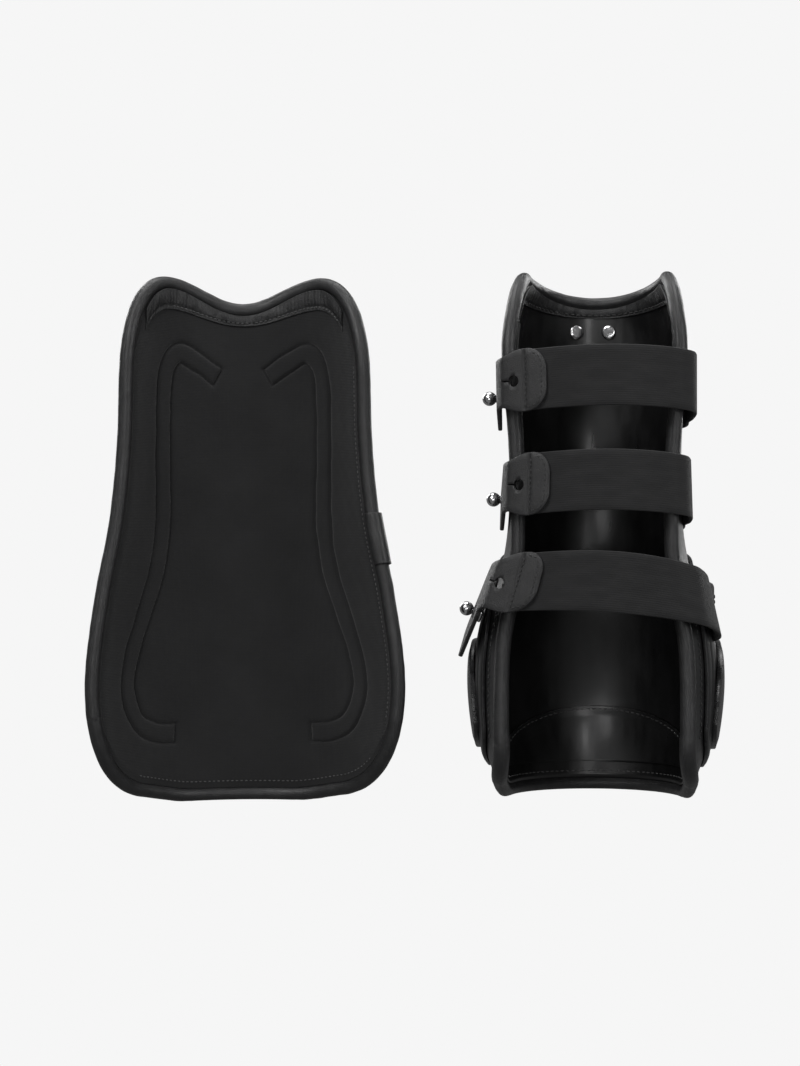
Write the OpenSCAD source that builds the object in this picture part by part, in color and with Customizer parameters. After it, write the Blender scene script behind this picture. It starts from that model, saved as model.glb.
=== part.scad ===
// Tendon boot for a horse's lower leg, standing beside its removable padded liner.
// Millimetres. +Z runs up the leg, and the open front of both pieces faces -Y.
// The boot is a moulded shell with three elastic straps that end in leather tabs.
// Each tab is pushed over a ball stud on the boot's left flank.

/* [Boot shell] */
// Sideways place of the boot's middle
boot_x = 92; // [80:0.1:120]
// Depthwise place of the boot's middle
boot_y = 3.8; // [-20:0.1:20]
// Turn of the boot about the vertical
boot_turn = -5.5; // [-12:0.5:12]
// Height of the lobes either side of the dipped collar
boot_height = 262.5; // [250:0.5:275]
// Depth of the dip in the collar, at the back of the leg
collar_dip = 9; // [4:0.5:20]
// Rise of the bottom edge from the back to the front corners
sole_rise = 12; // [4:0.5:14]
// Thickness of the outer moulding
shell_wall = 2; // [1.5:0.1:2.5]
// Thickness of the impact foam inside the moulding
foam_wall = 2.8; // [2:0.1:3.5]
// Thickness of the glossy lining
lining_wall = 1; // [0.8:0.1:1.4]
// Diameter of the padded roll along the boot's edge
roll_size = 7.2; // [6:0.2:8]

/* [Guards] */
// Thickness of the raised layer on the lower outside
overlay_wall = 1.6; // [1:0.1:2.5]
// Thickness of the strike guard
guard_wall = 2.2; // [1.5:0.1:3]
// Lower end of the strike guard
guard_bottom = 24; // [20:1:40]
// Upper end of the strike guard
guard_top = 214; // [180:1:225]

/* [Straps] */
// Width of the elastic bands
elastic_width = 29; // [26:0.5:31]
// Thickness of the elastic bands
elastic_wall = 1.8; // [1.4:0.1:2.2]
// Thickness of the leather tabs and patches
leather_wall = 2; // [1.6:0.1:2.4]
// Distance from a tab's fold to its stud
stud_reach = 26; // [24:0.5:30]
// Diameter of the ball on a stud
ball_size = 7; // [6:0.1:7.2]
// Width of the hole that passes the ball
keyhole_width = 8.2; // [7.8:0.1:9]
// Play along the tab before the ball meets the end of the hole
keyhole_play = 5; // [4.5:0.1:6]

/* [Liner] */
// Sideways place of the liner's middle
liner_x = -84; // [-100:0.1:-76]
// Depthwise place of the liner's hollow back
liner_y = 0.8; // [-20:0.1:20]
// Turn of the liner about the vertical
liner_turn = 6; // [0:0.5:12]
// Height of the liner's lobes
liner_height = 258; // [245:0.5:262]
// Thickness of the neoprene core
core_wall = 4; // [3:0.1:5]
// Thickness of the knitted face and of the loop backing
cloth_wall = 0.8; // [0.6:0.1:1.2]
// Diameter of the liner's padded binding
binding_size = 7; // [6:0.2:8]

/* [Hidden] */
gap = 0.06;
step = 0.001;
columns = 36;
rows = 16;
liner_rows = 10;
bunch = 80;
roll_sides = 10;

black_leather = [0.06, 0.06, 0.065];
black_gloss = [0.03, 0.03, 0.035];
black_cloth = [0.1, 0.1, 0.11];
foam_grey = [0.3, 0.3, 0.32];
steel = [0.8, 0.8, 0.82];

// ---------- general curves ----------

function mix(a, b, t) = a + (b - a) * t;
function ease(t) = t * t * (3 - 2 * t);
function clip(t) = min(1, max(0, t));
function unit(v) = v / norm(v);

// number of the station interval that holds x
function interval(list, x, i = 0) =
    i >= len(list) - 2 || x < list[i + 1][0] ? i : interval(list, x, i + 1);

function slope(list, i, value) =
    let (a = max(i - 1, 0))
    let (b = min(i + 1, len(list) - 1))
    (list[b][value] - list[a][value]) / (list[b][0] - list[a][0]);

// smooth curve through stations of [place, value, ...]
function curve(list, x, value = 1) =
    let (i = interval(list, x))
    let (w = list[i + 1][0] - list[i][0])
    let (t = (x - list[i][0]) / w)
    let (a = list[i][value])
    let (b = list[i + 1][value])
    let (lift = w * slope(list, i, value) - (b - a))
    let (fall = (b - a) - w * slope(list, i + 1, value))
    mix(a, b, t) + t * (1 - t) * ((1 - t) * lift + t * fall);

// drop of a rounded corner that starts at one share of the half width
function corner(share, start, drop) =
    let (t = clip((share - start) / (1 - start)))
    drop * (1 - sqrt(max(0, 1 - t * t)));

// ---------- thick curved sheets ----------

// A sheet is a grid of [s, z] places on a form, given two depths below its outer face.
// s is -1 at the left edge, 0 at the back of the leg and 1 at the right edge.
module sheet(grid, form, outer, inner) {
    high = len(grid) - 1;
    wide = len(grid[0]) - 1;
    count = (high + 1) * (wide + 1);
    points = [
        for (depth = [outer, inner])
            for (row = grid)
                for (place = row)
                    form(place[0], place[1], depth)
    ];
    at = function (j, i) j * (wide + 1) + i;
    rim = [
        for (i = [0 : wide - 1]) at(0, i),
        for (j = [0 : high - 1]) at(j, wide),
        for (i = [0 : wide - 1]) at(high, wide - i),
        for (j = [0 : high - 1]) at(high - j, 0)
    ];
    faces = [
        for (j = [0 : high - 1])
            for (i = [0 : wide - 1])
                each [
                    [at(j, i), at(j + 1, i + 1), at(j + 1, i)],
                    [at(j, i), at(j, i + 1), at(j + 1, i + 1)],
                    [count + at(j, i), count + at(j + 1, i), count + at(j + 1, i + 1)],
                    [count + at(j, i), count + at(j + 1, i + 1), count + at(j, i + 1)]
                ],
        for (k = [0 : len(rim) - 1])
            let (a = rim[k])
            let (b = rim[(k + 1) % len(rim)])
            each [
                [a, count + b, b],
                [a, count + a, count + b]
            ]
    ];
    polyhedron(points = points, faces = faces);
}

// A rope joins rings of points into one solid, closed on itself or capped at both ends.
module rope(rings, closed) {
    size = len(rings[0]);
    count = len(rings);
    caps = closed ? [] : [
        [for (i = [0 : size - 1]) size - 1 - i],
        [for (i = [0 : size - 1]) (count - 1) * size + i]
    ];
    faces = [
        for (k = [0 : closed ? count - 1 : count - 2])
            for (i = [0 : size - 1])
                let (a = k * size + i)
                let (b = k * size + (i + 1) % size)
                let (c = ((k + 1) % count) * size + (i + 1) % size)
                let (d = ((k + 1) % count) * size + i)
                each [
                    [a, b, c],
                    [a, c, d]
                ],
        each caps
    ];
    polyhedron(points = [for (ring = rings) each ring], faces = faces);
}

// Every sheet shares one set of columns, closer together at the side edges.
function column(i) = sin(mix(-bunch, bunch, i / columns)) / sin(bunch);

// Rows lie closer together towards the top.
function row_share(t) = 1 - pow(1 - t, 1.3);

// Places between a lower and an upper edge, from one column to another.
function edge_grid(low, high, from, to, tall) = [
    for (j = [0 : tall])
        [
            for (i = [from : to])
                [column(i), mix(low(column(i)), high(column(i)), row_share(j / tall))]
        ]
];

// The outline of a grid, walked up the left, over the top, down the right and back.
function outline(grid) =
    let (high = len(grid) - 1)
    let (wide = len(grid[0]) - 1)
    [
        for (j = [0 : high - 1]) grid[j][0],
        for (i = [0 : wide - 1]) grid[high][i],
        for (j = [0 : high - 1]) grid[high - j][wide],
        for (i = [0 : wide - 1]) grid[0][wide - i]
    ];

// Local frame on a path over a form: [middle, outward, away from the sheet]
function path_frame(place, ahead, behind, form, depth) =
    let (middle = form(place[0], place[1], depth))
    let (along = unit(form(ahead[0], ahead[1], depth) - form(behind[0], behind[1], depth)))
    let (raised = form(place[0], place[1], depth - 1) - middle)
    let (out = unit(raised - along * (raised * along)))
    [middle, out, cross(along, out)];

function outline_frames(path, form, depth) =
    let (count = len(path))
    [
        for (k = [0 : count - 1])
            path_frame(path[k], path[(k + 1) % count], path[(k + count - 1) % count], form, depth)
    ];

// Rings of a padded roll that lies just outside the edge of a sheet and never below the floor.
function roll_rings(frames, size) = [
    for (f = frames)
        [
            for (i = [0 : roll_sides - 1])
                let (turn = (i + 0.5) * 360 / roll_sides)
                let (reach = size / 2 * (1 + cos(turn)) + gap)
                let (point = f[0] + f[2] * reach + f[1] * (size / 2 * sin(turn)))
                [point[0], point[1], max(point[2], 0)]
        ]
];

// A ribbon runs along stations of [middle, outward, across, width] between two heights.
module ribbon(stations, low, high) {
    rope([
        for (s = stations)
            [
                s[0] + s[1] * low - s[2] * s[3] / 2,
                s[0] + s[1] * low + s[2] * s[3] / 2,
                s[0] + s[1] * high + s[2] * s[3] / 2,
                s[0] + s[1] * high - s[2] * s[3] / 2
            ]
    ], false);
}

// ---------- boot form ----------

// stations of [height, size] for the outer face of the moulding
flank = [
    [0, 46], [12, 50], [26, 54.5], [50, 58], [70, 58], [90, 54.5],
    [115, 46.5], [140, 42.8], [175, 42.4], [222, 45.2], [245, 42.5], [262, 35]
];
mouth = [
    [0, 40], [14, 45.5], [30, 48.6], [55, 48.8], [80, 47.5], [105, 43],
    [129, 40.4], [175, 41], [222, 44.2], [245, 40], [262, 32]
];
heel = [[0, 46], [30, 51], [60, 50], [95, 44], [130, 41], [180, 41], [228, 43], [262, 43]];
wing = [[0, 40], [30, 42], [60, 42], [95, 41], [130, 40], [180, 39], [228, 39], [262, 37]];

// share of each half that lies forward of the widest place
wing_share = 0.42;

// outer line of the moulding at one height
function boot_line(s, z) =
    let (side = s < 0 ? -1 : 1)
    let (back = clip(abs(s) / (1 - wing_share)) * 90)
    let (forward = max(0, (abs(s) - (1 - wing_share)) / wing_share))
    let (half = curve(flank, z))
    let (width = half * sin(back) - (half - curve(mouth, z)) * pow(forward, 2.5))
    [side * width, curve(heel, z) * cos(back) - curve(wing, z) * forward];

boot_surface = function (s, z, depth)
    let (here = boot_line(s, z))
    let (run = unit(boot_line(s + step, z) - boot_line(s - step, z)))
    [here[0] + run[1] * depth, here[1] - run[0] * depth, z];

collar_start = 0.58;
collar_drop = 40;
toe_start = 0.84;
toe_drop = 13;
flat_share = 0.5;
press_down = 1;

boot_top = function (s)
    let (dip = collar_dip * (0.5 + 0.5 * cos(180 * clip(abs(s) / collar_start))))
    boot_height - roll_size - gap - dip - corner(abs(s), collar_start, collar_drop);

boot_bottom = function (s)
    let (rise = sole_rise * ease(clip((abs(s) - flat_share) / (1 - flat_share))))
    roll_size + gap - press_down + rise + corner(abs(s), toe_start, toe_drop);

boot_grid = edge_grid(boot_bottom, boot_top, 0, columns, rows);

foam_outer = shell_wall + gap;
foam_inner = foam_outer + foam_wall;
lining_outer = foam_inner + gap;
lining_inner = lining_outer + lining_wall;
trim_gap = 0.3;
trim_outer = lining_inner + trim_gap;
trim_wall = 0.7;
boot_frames = outline_frames(outline(boot_grid), boot_surface, lining_inner / 2);

module place_boot() {
    translate([boot_x, boot_y, 0])
        rotate([0, 0, boot_turn])
            children();
}

// A layer of the wall, with its rivet and screw holes.
module wall_layer(outer, inner) {
    place_boot()
        difference() {
            sheet(boot_grid, boot_surface, outer, inner);
            for (share = rivet_shares)
                place_rivet(share)
                    translate([0, 0, -hole_reach])
                        cylinder(h = 2 * hole_reach, r = rivet_shank + hole_play, $fn = 48);
            for (index = [0 : 2])
                screw_hole(index);
        }
}

module screw_hole(index) {
    place_stud(index)
        translate([0, 0, -1.5 * hole_reach])
            cylinder(h = 1.5 * hole_reach, r = screw_shank + hole_play, $fn = 48);
}

hole_reach = 12;
hole_play = 0.1;

// ---------- rivets and badge ----------

rivet_height = 235;
rivet_shares = [-0.1, 0.06];
rivet_shank = 1.4;
rivet_cap = 3.6;
rivet_rise = 1.4;
badge_from = 15;
badge_half = 8;
badge_wall = 1.2;

// Frame on the back of the boot, with +Z pointing out through the wall.
module place_rivet(share) {
    here = boot_surface(share, rivet_height, 0);
    out = here - boot_surface(share, rivet_height, 1);
    translate(here)
        rotate([0, 0, -atan2(out[0], out[1])])
            rotate([-90, 0, 0])
                children();
}

module rivet() {
    outside = badge_wall + trim_gap + gap;
    inside = -lining_inner - 1.3 * trim_gap;
    rotate_extrude($fn = 48)
        polygon([
            [0, outside + rivet_rise * 0.7],
            [rivet_cap * 0.6, outside + rivet_rise * 0.4],
            [rivet_cap * 0.75, outside],
            [rivet_shank, outside],
            [rivet_shank, inside],
            [rivet_cap, inside],
            [rivet_cap * 0.9, inside - rivet_rise * 0.6],
            [rivet_cap * 0.5, inside - rivet_rise],
            [0, inside - rivet_rise * 1.1]
        ]);
}

// ---------- straps, tabs and studs ----------

// One strap is [fold place, outward turn of the tab, lean of the flank, droop of the tab,
//               length of the tab, drop of the stud, height of the sewn end, lean of the sewn end,
//               half width where it turns the right corner, half width at the sewn end,
//               end of the patch and place of its spare hole, as distances from the fold]
straps = [
    [[-45, -48, 203.5], 2, -1, 16, 48, 5.5, 201, 0, 45.8, 45.4, 27, 10],
    [[-41.8, -48.5, 154], 4, 2, 16, 48, 5.8, 150.5, 2, 42.6, 43.8, 27, 10],
    [[-50, -50, 107], 6, 18, 36, 58, 14.5, 93, 13, 48.4, 56.4, 27, 7.5]
];
tab_width = 24;
tip_radius = 10.5;
tip_overlap = 0.97;
slot_inset = 0.08;
fold_radius = leather_wall / 2 - 0.03;
fold_gap = 0.4;

module place_tab(strap) {
    translate(strap[0])
        rotate([0, strap[2], strap[1]])
            children();
}

// Frame of a stud, with +Z pointing out and the tab lying from 0 to its thickness.
module place_stud(index) {
    place_tab(straps[index])
        translate([0, stud_reach, -straps[index][5]])
            rotate([0, -90, 0])
                children();
}

module tab(strap) {
    droop = strap[3];
    tip = [(strap[4] - tip_radius) * cos(droop), -(strap[4] - tip_radius) * sin(droop)];
    side = [sin(droop), cos(droop)] * tip_radius;
    place_boot()
        place_tab(strap)
            translate([-leather_wall, 0, 0])
                rotate([90, 0, 90])
                    difference() {
                        union() {
                            linear_extrude(leather_wall)
                                union() {
                                    polygon([
                                        [0, tab_width / 2],
                                        -[0, tab_width / 2],
                                        tip - side * tip_overlap,
                                        tip + side * tip_overlap
                                    ]);
                                    translate(tip)
                                        circle(tip_radius, $fn = 64);
                                }
                            translate([0, -tab_width / 2, leather_wall / 2])
                                rotate([-90, 0, 0])
                                    cylinder(h = tab_width, r = fold_radius, $fn = 48);
                        }
                        translate([stud_reach, -strap[5], -1])
                            linear_extrude(leather_wall + 2)
                                union() {
                                    circle(d = keyhole_width, $fn = 48);
                                    translate([keyhole_play, 0])
                                        circle(d = keyhole_width, $fn = 48);
                                    translate([0, -keyhole_width / 2 + slot_inset])
                                        square([keyhole_play, keyhole_width - 2 * slot_inset]);
                                }
                    }
}

neck_radius = 1.9;
flange_radius = 4.6;
screw_shank = 1.2;
screw_head = 3.8;
head_wall = 1;
ball_height = leather_wall + 0.3 + ball_size / 2;
// how far below the tab the boot's outside and its lining lie at each stud
stud_seats = [[1.75, 8.9], [1.6, 8.7], [2.4, 12.3]];

module stud(index) {
    seat = -stud_seats[index][0];
    place_boot()
        place_stud(index)
            difference() {
                union() {
                    translate([0, 0, ball_height])
                        sphere(d = ball_size, $fn = 64);
                    translate([0, 0, seat])
                        cylinder(h = ball_height - seat, r = neck_radius, $fn = 48);
                    translate([0, 0, seat])
                        cylinder(h = -seat - fold_gap, r = flange_radius, $fn = 48);
                }
                translate([0, 0, seat - 1])
                    cylinder(h = leather_wall - seat + 2, r = screw_shank + gap, $fn = 48);
            }
}

// stations of [distance from the fold, share of the way across, forward], seen from above
strap_line = [
    [0, 0, 0], [7, 0.058, -3.2], [14, 0.125, -5.2], [30, 0.285, -8.6], [54, 0.53, -10.4],
    [78, 0.77, -8.6], [92, 0.905, -4.4], [103, 0.985, 3.4], [112, 1, 12], [126, 1, 26], [140, 1, 40]
];
strap_length = 133.5;
strap_turn = 97;
strap_bulge = 1.8;
strap_arch = 4;
strap_droop = 2.5;
elastic_start = 12;

// a point on the inner face of a strap
function strap_point(strap, d) =
    let (round = clip((d - strap_turn) / (strap_length - strap_turn)))
    [
        mix(strap[0][0], strap[8], curve(strap_line, d, 1))
        + mix(0, strap[9] - strap[8], ease(round)) + strap_bulge * sin(180 * round),
        strap[0][1] + curve(strap_line, d, 2),
        mix(strap[0][2], strap[6], pow(clip(d / strap_length), strap_droop))
        + strap_arch * sin(180 * d / strap_length)
    ];

function strap_station(strap, d, width) =
    let (run = strap_point(strap, d + 0.5) - strap_point(strap, d - 0.5))
    let (lean = mix(strap[2], -strap[7], ease(clip(d / strap_length))))
    let (up = [sin(lean), 0, cos(lean)])
    let (out = unit([run[1], -run[0], 0]))
    [strap_point(strap, d), unit(out - up * (out * up)), up, width];

module elastic(strap) {
    place_boot()
        ribbon([
            for (k = [0 : 26])
                strap_station(strap, mix(strap_length, elastic_start, k / 26), elastic_width)
        ], 0, elastic_wall);
}

patch_start = 2.2;
patch_round = 10;
patch_hole = 2.9;
patch_low = elastic_wall + gap;

// The leather that covers the elastic's end and runs on to the fold.
module tab_patch(strap) {
    patch_end = strap[10];
    hole = strap_station(strap, strap[11], 0);
    facing = atan2(hole[1][1], hole[1][0]);
    place_boot()
        difference() {
            ribbon([
                for (k = [0 : 16])
                    let (d = mix(patch_start, patch_end, cos(88 * k / 16)))
                    let (t = clip((d - patch_end + patch_round) / patch_round))
                    let (full = mix(tab_width, elastic_width + 1, ease(clip((d - patch_start) / 12))))
                    strap_station(strap, d, full * mix(0.35, 1, sqrt(1 - t * t)))
            ], patch_low, patch_low + leather_wall);
            translate(hole[0])
                rotate([0, 90, facing])
                    cylinder(h = hole_reach, r = patch_hole, $fn = 48);
        }
}

// The sewn end of a strap on the right flank, behind the place where the strap bends open.
module strap_anchor(index, lift) {
    strap = straps[index];
    fall = function (s) strap[6] - (column(anchor_front) - s) * anchor_fall[index];
    grid = edge_grid(
        function (s) fall(s) - elastic_width / 2,
        function (s) fall(s) + elastic_width / 2,
        anchor_back[index],
        anchor_front,
        4
    );
    place_boot()
        sheet(grid, boot_surface, -lift - elastic_wall, -lift);
}

anchor_front = 28;
anchor_back = [24, 24, 26];
anchor_fall = [8, 12, 20];

// ---------- outside layers ----------

overlay_from = 3;
overlay_bottom = 15;
overlay_top = 124;
guard_from = 7;
guard_shoulder = 79;

overlay_limit = -column(overlay_from);
overlay_grid = edge_grid(
    function (s)
        let (lift = sole_rise * ease(clip(abs(s) * 2 - 1)))
        overlay_bottom + lift + corner(abs(s) / overlay_limit, 0.8, 12),
    function (s) overlay_top - corner(abs(s) / overlay_limit, 0.3, 46),
    overlay_from,
    columns - overlay_from,
    9
);

guard_limit = -column(guard_from);
guard_grid = edge_grid(
    function (s) guard_bottom + corner(abs(s) / guard_limit, 0.55, 15),
    function (s)
        mix(guard_top, guard_shoulder, ease(clip((abs(s) - 0.05) / 0.38)))
        - corner(abs(s) / guard_limit, 0.6, 34),
    guard_from,
    columns - guard_from,
    12
);
overlay_lift = 1.8 * trim_gap;
guard_lift = overlay_lift + overlay_wall + 1.5 * trim_gap;

// ---------- inside trims ----------

collar_band = 8;
collar_from = 6;
cup_from = 11;
cup_rise = 24;
cup_clear = 8.5;
loop_from = 27;
loop_to = 31;
loop_bottom = 34;
loop_top = 236;

collar_grid = edge_grid(
    function (s) boot_top(s) - collar_band,
    function (s) boot_top(s) - 0.4,
    collar_from,
    columns - collar_from,
    1
);

cup_half = -column(cup_from);
cup_grid = edge_grid(
    function (s) boot_bottom(s) + cup_clear,
    function (s) boot_bottom(s) + cup_clear + 4 + cup_rise * cos(90 * s / cup_half),
    cup_from,
    columns - cup_from,
    3
);

module loop_tape(side) {
    near = column(loop_from);
    far = column(loop_to);
    grid = edge_grid(
        function (s) loop_bottom,
        function (s) loop_top - corner((abs(s) - near) / (far - near), 0.2, 26),
        side < 0 ? columns - loop_to : loop_from,
        side < 0 ? columns - loop_from : loop_to,
        16
    );
    color(black_cloth)
        place_boot()
            difference() {
                sheet(grid, boot_surface, trim_outer, trim_outer + trim_wall);
                for (index = [0 : 2])
                    place_stud(index)
                        translate([0, 0, -1.5 * hole_reach])
                            cylinder(h = 1.5 * hole_reach, r = screw_head + trim_gap, $fn = 48);
            }
}

// ---------- liner form ----------

// stations of [height, half width seen from the front]
liner_side = [
    [0, 66], [28, 71], [60, 74], [100, 69.5], [138, 62.5], [175, 59], [211, 58], [258, 56]
];
liner_bend = 62;

liner_surface = function (s, z, depth)
    let (radius = curve(liner_side, z) / sin(liner_bend))
    [
        (radius - depth) * sin(liner_bend * s),
        (radius - depth) * cos(liner_bend * s) - radius,
        z
    ];

liner_dip = 12;
liner_rise = 5;
lobe_share = 0.62;

liner_top = function (s)
    let (dip = liner_dip * (0.5 + 0.5 * cos(180 * clip(abs(s) / lobe_share))))
    liner_height - binding_size - gap - dip - corner(abs(s), lobe_share, 42);

liner_bottom = function (s)
    binding_size + gap - press_down + liner_rise * ease(clip(abs(s) * 2 - 0.6)) + corner(abs(s), 0.66, 34);

liner_grid = edge_grid(liner_bottom, liner_top, 0, columns, liner_rows);

core_outer = cloth_wall + gap;
core_inner = core_outer + core_wall;
face_outer = core_inner + gap;
face_inner = face_outer + cloth_wall;
liner_trim = face_inner + trim_gap;
liner_frames = outline_frames(outline(liner_grid), liner_surface, face_inner / 2);

liner_collar_grid = edge_grid(
    function (s) liner_top(s) - collar_band - 1,
    function (s) liner_top(s) - 0.4,
    collar_from,
    columns - collar_from,
    1
);

module place_liner() {
    translate([liner_x, liner_y, 0])
        rotate([0, 0, liner_turn])
            children();
}

// middle line of a C-shaped hook tape, as stations of [place along it, s, height]
tape_line = [
    [0, 0.19, 209], [1, 0.35, 216], [2, 0.52, 220], [3, 0.63, 208], [4, 0.635, 174], [5, 0.59, 138],
    [6, 0.59, 113], [7, 0.65, 93], [8, 0.716, 73], [9, 0.74, 56], [10, 0.68, 41], [11, 0.56, 35],
    [12, 0.42, 34]
];
tape_width = 9.5;
tape_wall = 1.2;
tape_end = 12;

function tape_place(side, t) = [side * curve(tape_line, t, 1), curve(tape_line, t, 2)];

module hook_tape(side) {
    steps = 40;
    color(black_cloth)
        place_liner()
            ribbon([
                for (k = [0 : steps])
                    let (t = k / steps * tape_end)
                    let (f = path_frame(
                        tape_place(side, t),
                        tape_place(side, t + 0.1),
                        tape_place(side, t - 0.1),
                        liner_surface,
                        0
                    ))
                    [f[0], f[1], f[2], tape_width]
            ], trim_gap, trim_gap + tape_wall);
}

// The binding's end laps over its start on the right edge.
joint_low = 116;
joint_high = 141;
joint_wall = 0.7;

module binding_wrap() {
    heights = [for (k = [0 : 8]) mix(joint_high, joint_low, k / 8)];
    place_liner()
        rope([
            for (z = heights)
                let (f = path_frame([1, z], [1, z - 1], [1, z + 1], liner_surface, face_inner / 2))
                [
                    for (i = [-3 : 2])
                        wrap_point(f, i + 0.5, binding_size / 2 + trim_gap + joint_wall),
                    for (i = [-3 : 2])
                        wrap_point(f, -i - 0.5, binding_size / 2 + trim_gap)
                ]
        ], false);
}

function wrap_point(f, i, radius) =
    let (turn = i * 360 / roll_sides)
    f[0] + f[2] * (binding_size / 2 + gap + radius * cos(turn)) + f[1] * (radius * sin(turn));

// ---------- nodes ----------

module outer_shell() {
    color(black_leather)
        wall_layer(0, shell_wall);
}

module impact_foam() {
    color(foam_grey)
        wall_layer(foam_outer, foam_inner);
}

module shell_lining() {
    color(black_gloss)
        wall_layer(lining_outer, lining_inner);
}

module shell_edge_roll() {
    color(black_leather)
        place_boot()
            rope(roll_rings(boot_frames, roll_size), true);
}

module side_overlay() {
    color(black_leather)
        place_boot()
            difference() {
                sheet(overlay_grid, boot_surface, -overlay_lift - overlay_wall, -overlay_lift);
                screw_hole(2);
            }
}

module strike_guard() {
    color(black_gloss)
        place_boot()
            sheet(guard_grid, boot_surface, -guard_lift - guard_wall, -guard_lift);
}

module collar_facing() {
    color(black_leather)
        place_boot()
            sheet(collar_grid, boot_surface, trim_outer, trim_outer + trim_wall);
}

module fetlock_cup_panel() {
    color(black_gloss)
        place_boot()
            sheet(cup_grid, boot_surface, trim_outer + trim_gap, trim_outer + trim_gap + trim_wall);
}

module loop_tape_left() {
    loop_tape(-1);
}

module loop_tape_right() {
    loop_tape(1);
}

module badge_rivets() {
    color(steel)
        place_boot()
            for (share = rivet_shares)
                place_rivet(share)
                    rivet();
}

module badge_plate() {
    grid = edge_grid(
        function (s) rivet_height - badge_half,
        function (s) rivet_height + badge_half,
        badge_from,
        columns - badge_from,
        1
    );
    color(black_gloss)
        place_boot()
            difference() {
                sheet(grid, boot_surface, -trim_gap - badge_wall, -trim_gap);
                for (share = rivet_shares)
                    place_rivet(share)
                        cylinder(h = hole_reach, r = rivet_shank + hole_play, $fn = 48);
            }
}

module stud_top() {
    color(steel)
        stud(0);
}

module stud_middle() {
    color(steel)
        stud(1);
}

module stud_bottom() {
    color(steel)
        stud(2);
}

module stud_screws() {
    color(steel)
        place_boot()
            for (index = [0 : 2])
                place_stud(index)
                    translate([0, 0, -stud_seats[index][1]])
                        union() {
                            cylinder(h = stud_seats[index][1] + leather_wall, r = screw_shank, $fn = 48);
                            translate([0, 0, -head_wall])
                                cylinder(h = head_wall, r = screw_head, $fn = 48);
                        }
}

module strap_anchor_top() {
    color(black_cloth)
        strap_anchor(0, trim_gap);
}

module strap_anchor_middle() {
    color(black_cloth)
        strap_anchor(1, trim_gap);
}

module strap_anchor_bottom() {
    color(black_cloth)
        strap_anchor(2, guard_lift);
}

module elastic_top() {
    color(black_cloth)
        elastic(straps[0]);
}

module elastic_middle() {
    color(black_cloth)
        elastic(straps[1]);
}

module elastic_bottom() {
    color(black_cloth)
        elastic(straps[2]);
}

module tab_patch_top() {
    color(black_leather)
        tab_patch(straps[0]);
}

module tab_patch_middle() {
    color(black_leather)
        tab_patch(straps[1]);
}

module tab_patch_bottom() {
    color(black_leather)
        tab_patch(straps[2]);
}

module tab_top() {
    color(black_leather)
        tab(straps[0]);
}

module tab_middle() {
    color(black_leather)
        tab(straps[1]);
}

module tab_bottom() {
    color(black_leather)
        tab(straps[2]);
}

module liner_core() {
    color(foam_grey)
        place_liner()
            sheet(liner_grid, liner_surface, core_outer, core_inner);
}

module liner_face() {
    color(black_cloth)
        place_liner()
            sheet(liner_grid, liner_surface, face_outer, face_inner);
}

module liner_backing() {
    color(black_cloth)
        place_liner()
            sheet(liner_grid, liner_surface, 0, cloth_wall);
}

module liner_binding() {
    color(black_leather)
        place_liner()
            rope(roll_rings(liner_frames, binding_size), true);
}

module binding_joint() {
    color(black_leather)
        binding_wrap();
}

module liner_collar_facing() {
    color(black_leather)
        place_liner()
            sheet(liner_collar_grid, liner_surface, liner_trim, liner_trim + trim_wall);
}

module hook_tape_left() {
    hook_tape(-1);
}

module hook_tape_right() {
    hook_tape(1);
}

outer_shell();
impact_foam();
shell_lining();
shell_edge_roll();
side_overlay();
strike_guard();
collar_facing();
fetlock_cup_panel();
loop_tape_left();
loop_tape_right();
badge_rivets();
badge_plate();
stud_top();
stud_middle();
stud_bottom();
stud_screws();
strap_anchor_top();
strap_anchor_middle();
strap_anchor_bottom();
elastic_top();
elastic_middle();
elastic_bottom();
tab_patch_top();
tab_patch_middle();
tab_patch_bottom();
tab_top();
tab_middle();
tab_bottom();
liner_core();
liner_face();
liner_backing();
liner_binding();
binding_joint();
liner_collar_facing();
hook_tape_left();
hook_tape_right();
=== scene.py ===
"""Looks of a tendon boot and its liner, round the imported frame. Lengths are in millimetres."""

import math

import bmesh
import bpy
import numpy as np
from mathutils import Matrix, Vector

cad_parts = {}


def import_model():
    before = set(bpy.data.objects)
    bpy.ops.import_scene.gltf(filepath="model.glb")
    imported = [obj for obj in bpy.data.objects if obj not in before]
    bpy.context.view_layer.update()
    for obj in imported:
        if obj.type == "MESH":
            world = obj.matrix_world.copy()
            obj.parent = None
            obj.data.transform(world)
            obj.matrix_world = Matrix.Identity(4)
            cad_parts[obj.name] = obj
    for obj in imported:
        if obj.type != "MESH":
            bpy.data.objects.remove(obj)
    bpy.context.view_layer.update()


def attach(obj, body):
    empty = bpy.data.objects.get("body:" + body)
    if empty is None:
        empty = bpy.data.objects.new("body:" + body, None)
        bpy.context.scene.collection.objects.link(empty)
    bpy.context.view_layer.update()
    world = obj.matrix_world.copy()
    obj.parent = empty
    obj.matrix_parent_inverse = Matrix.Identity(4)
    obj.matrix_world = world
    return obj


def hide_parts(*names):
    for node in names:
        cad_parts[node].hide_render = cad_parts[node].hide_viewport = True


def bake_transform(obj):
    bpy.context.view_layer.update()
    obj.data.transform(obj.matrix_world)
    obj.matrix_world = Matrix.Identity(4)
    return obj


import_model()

MM = 0.001
STEP = 0.001

# places of the two items
BOOT_PLACE = (92, 3.8, -5.5)
LINER_PLACE = (-84, 0.8, 6)

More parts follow.
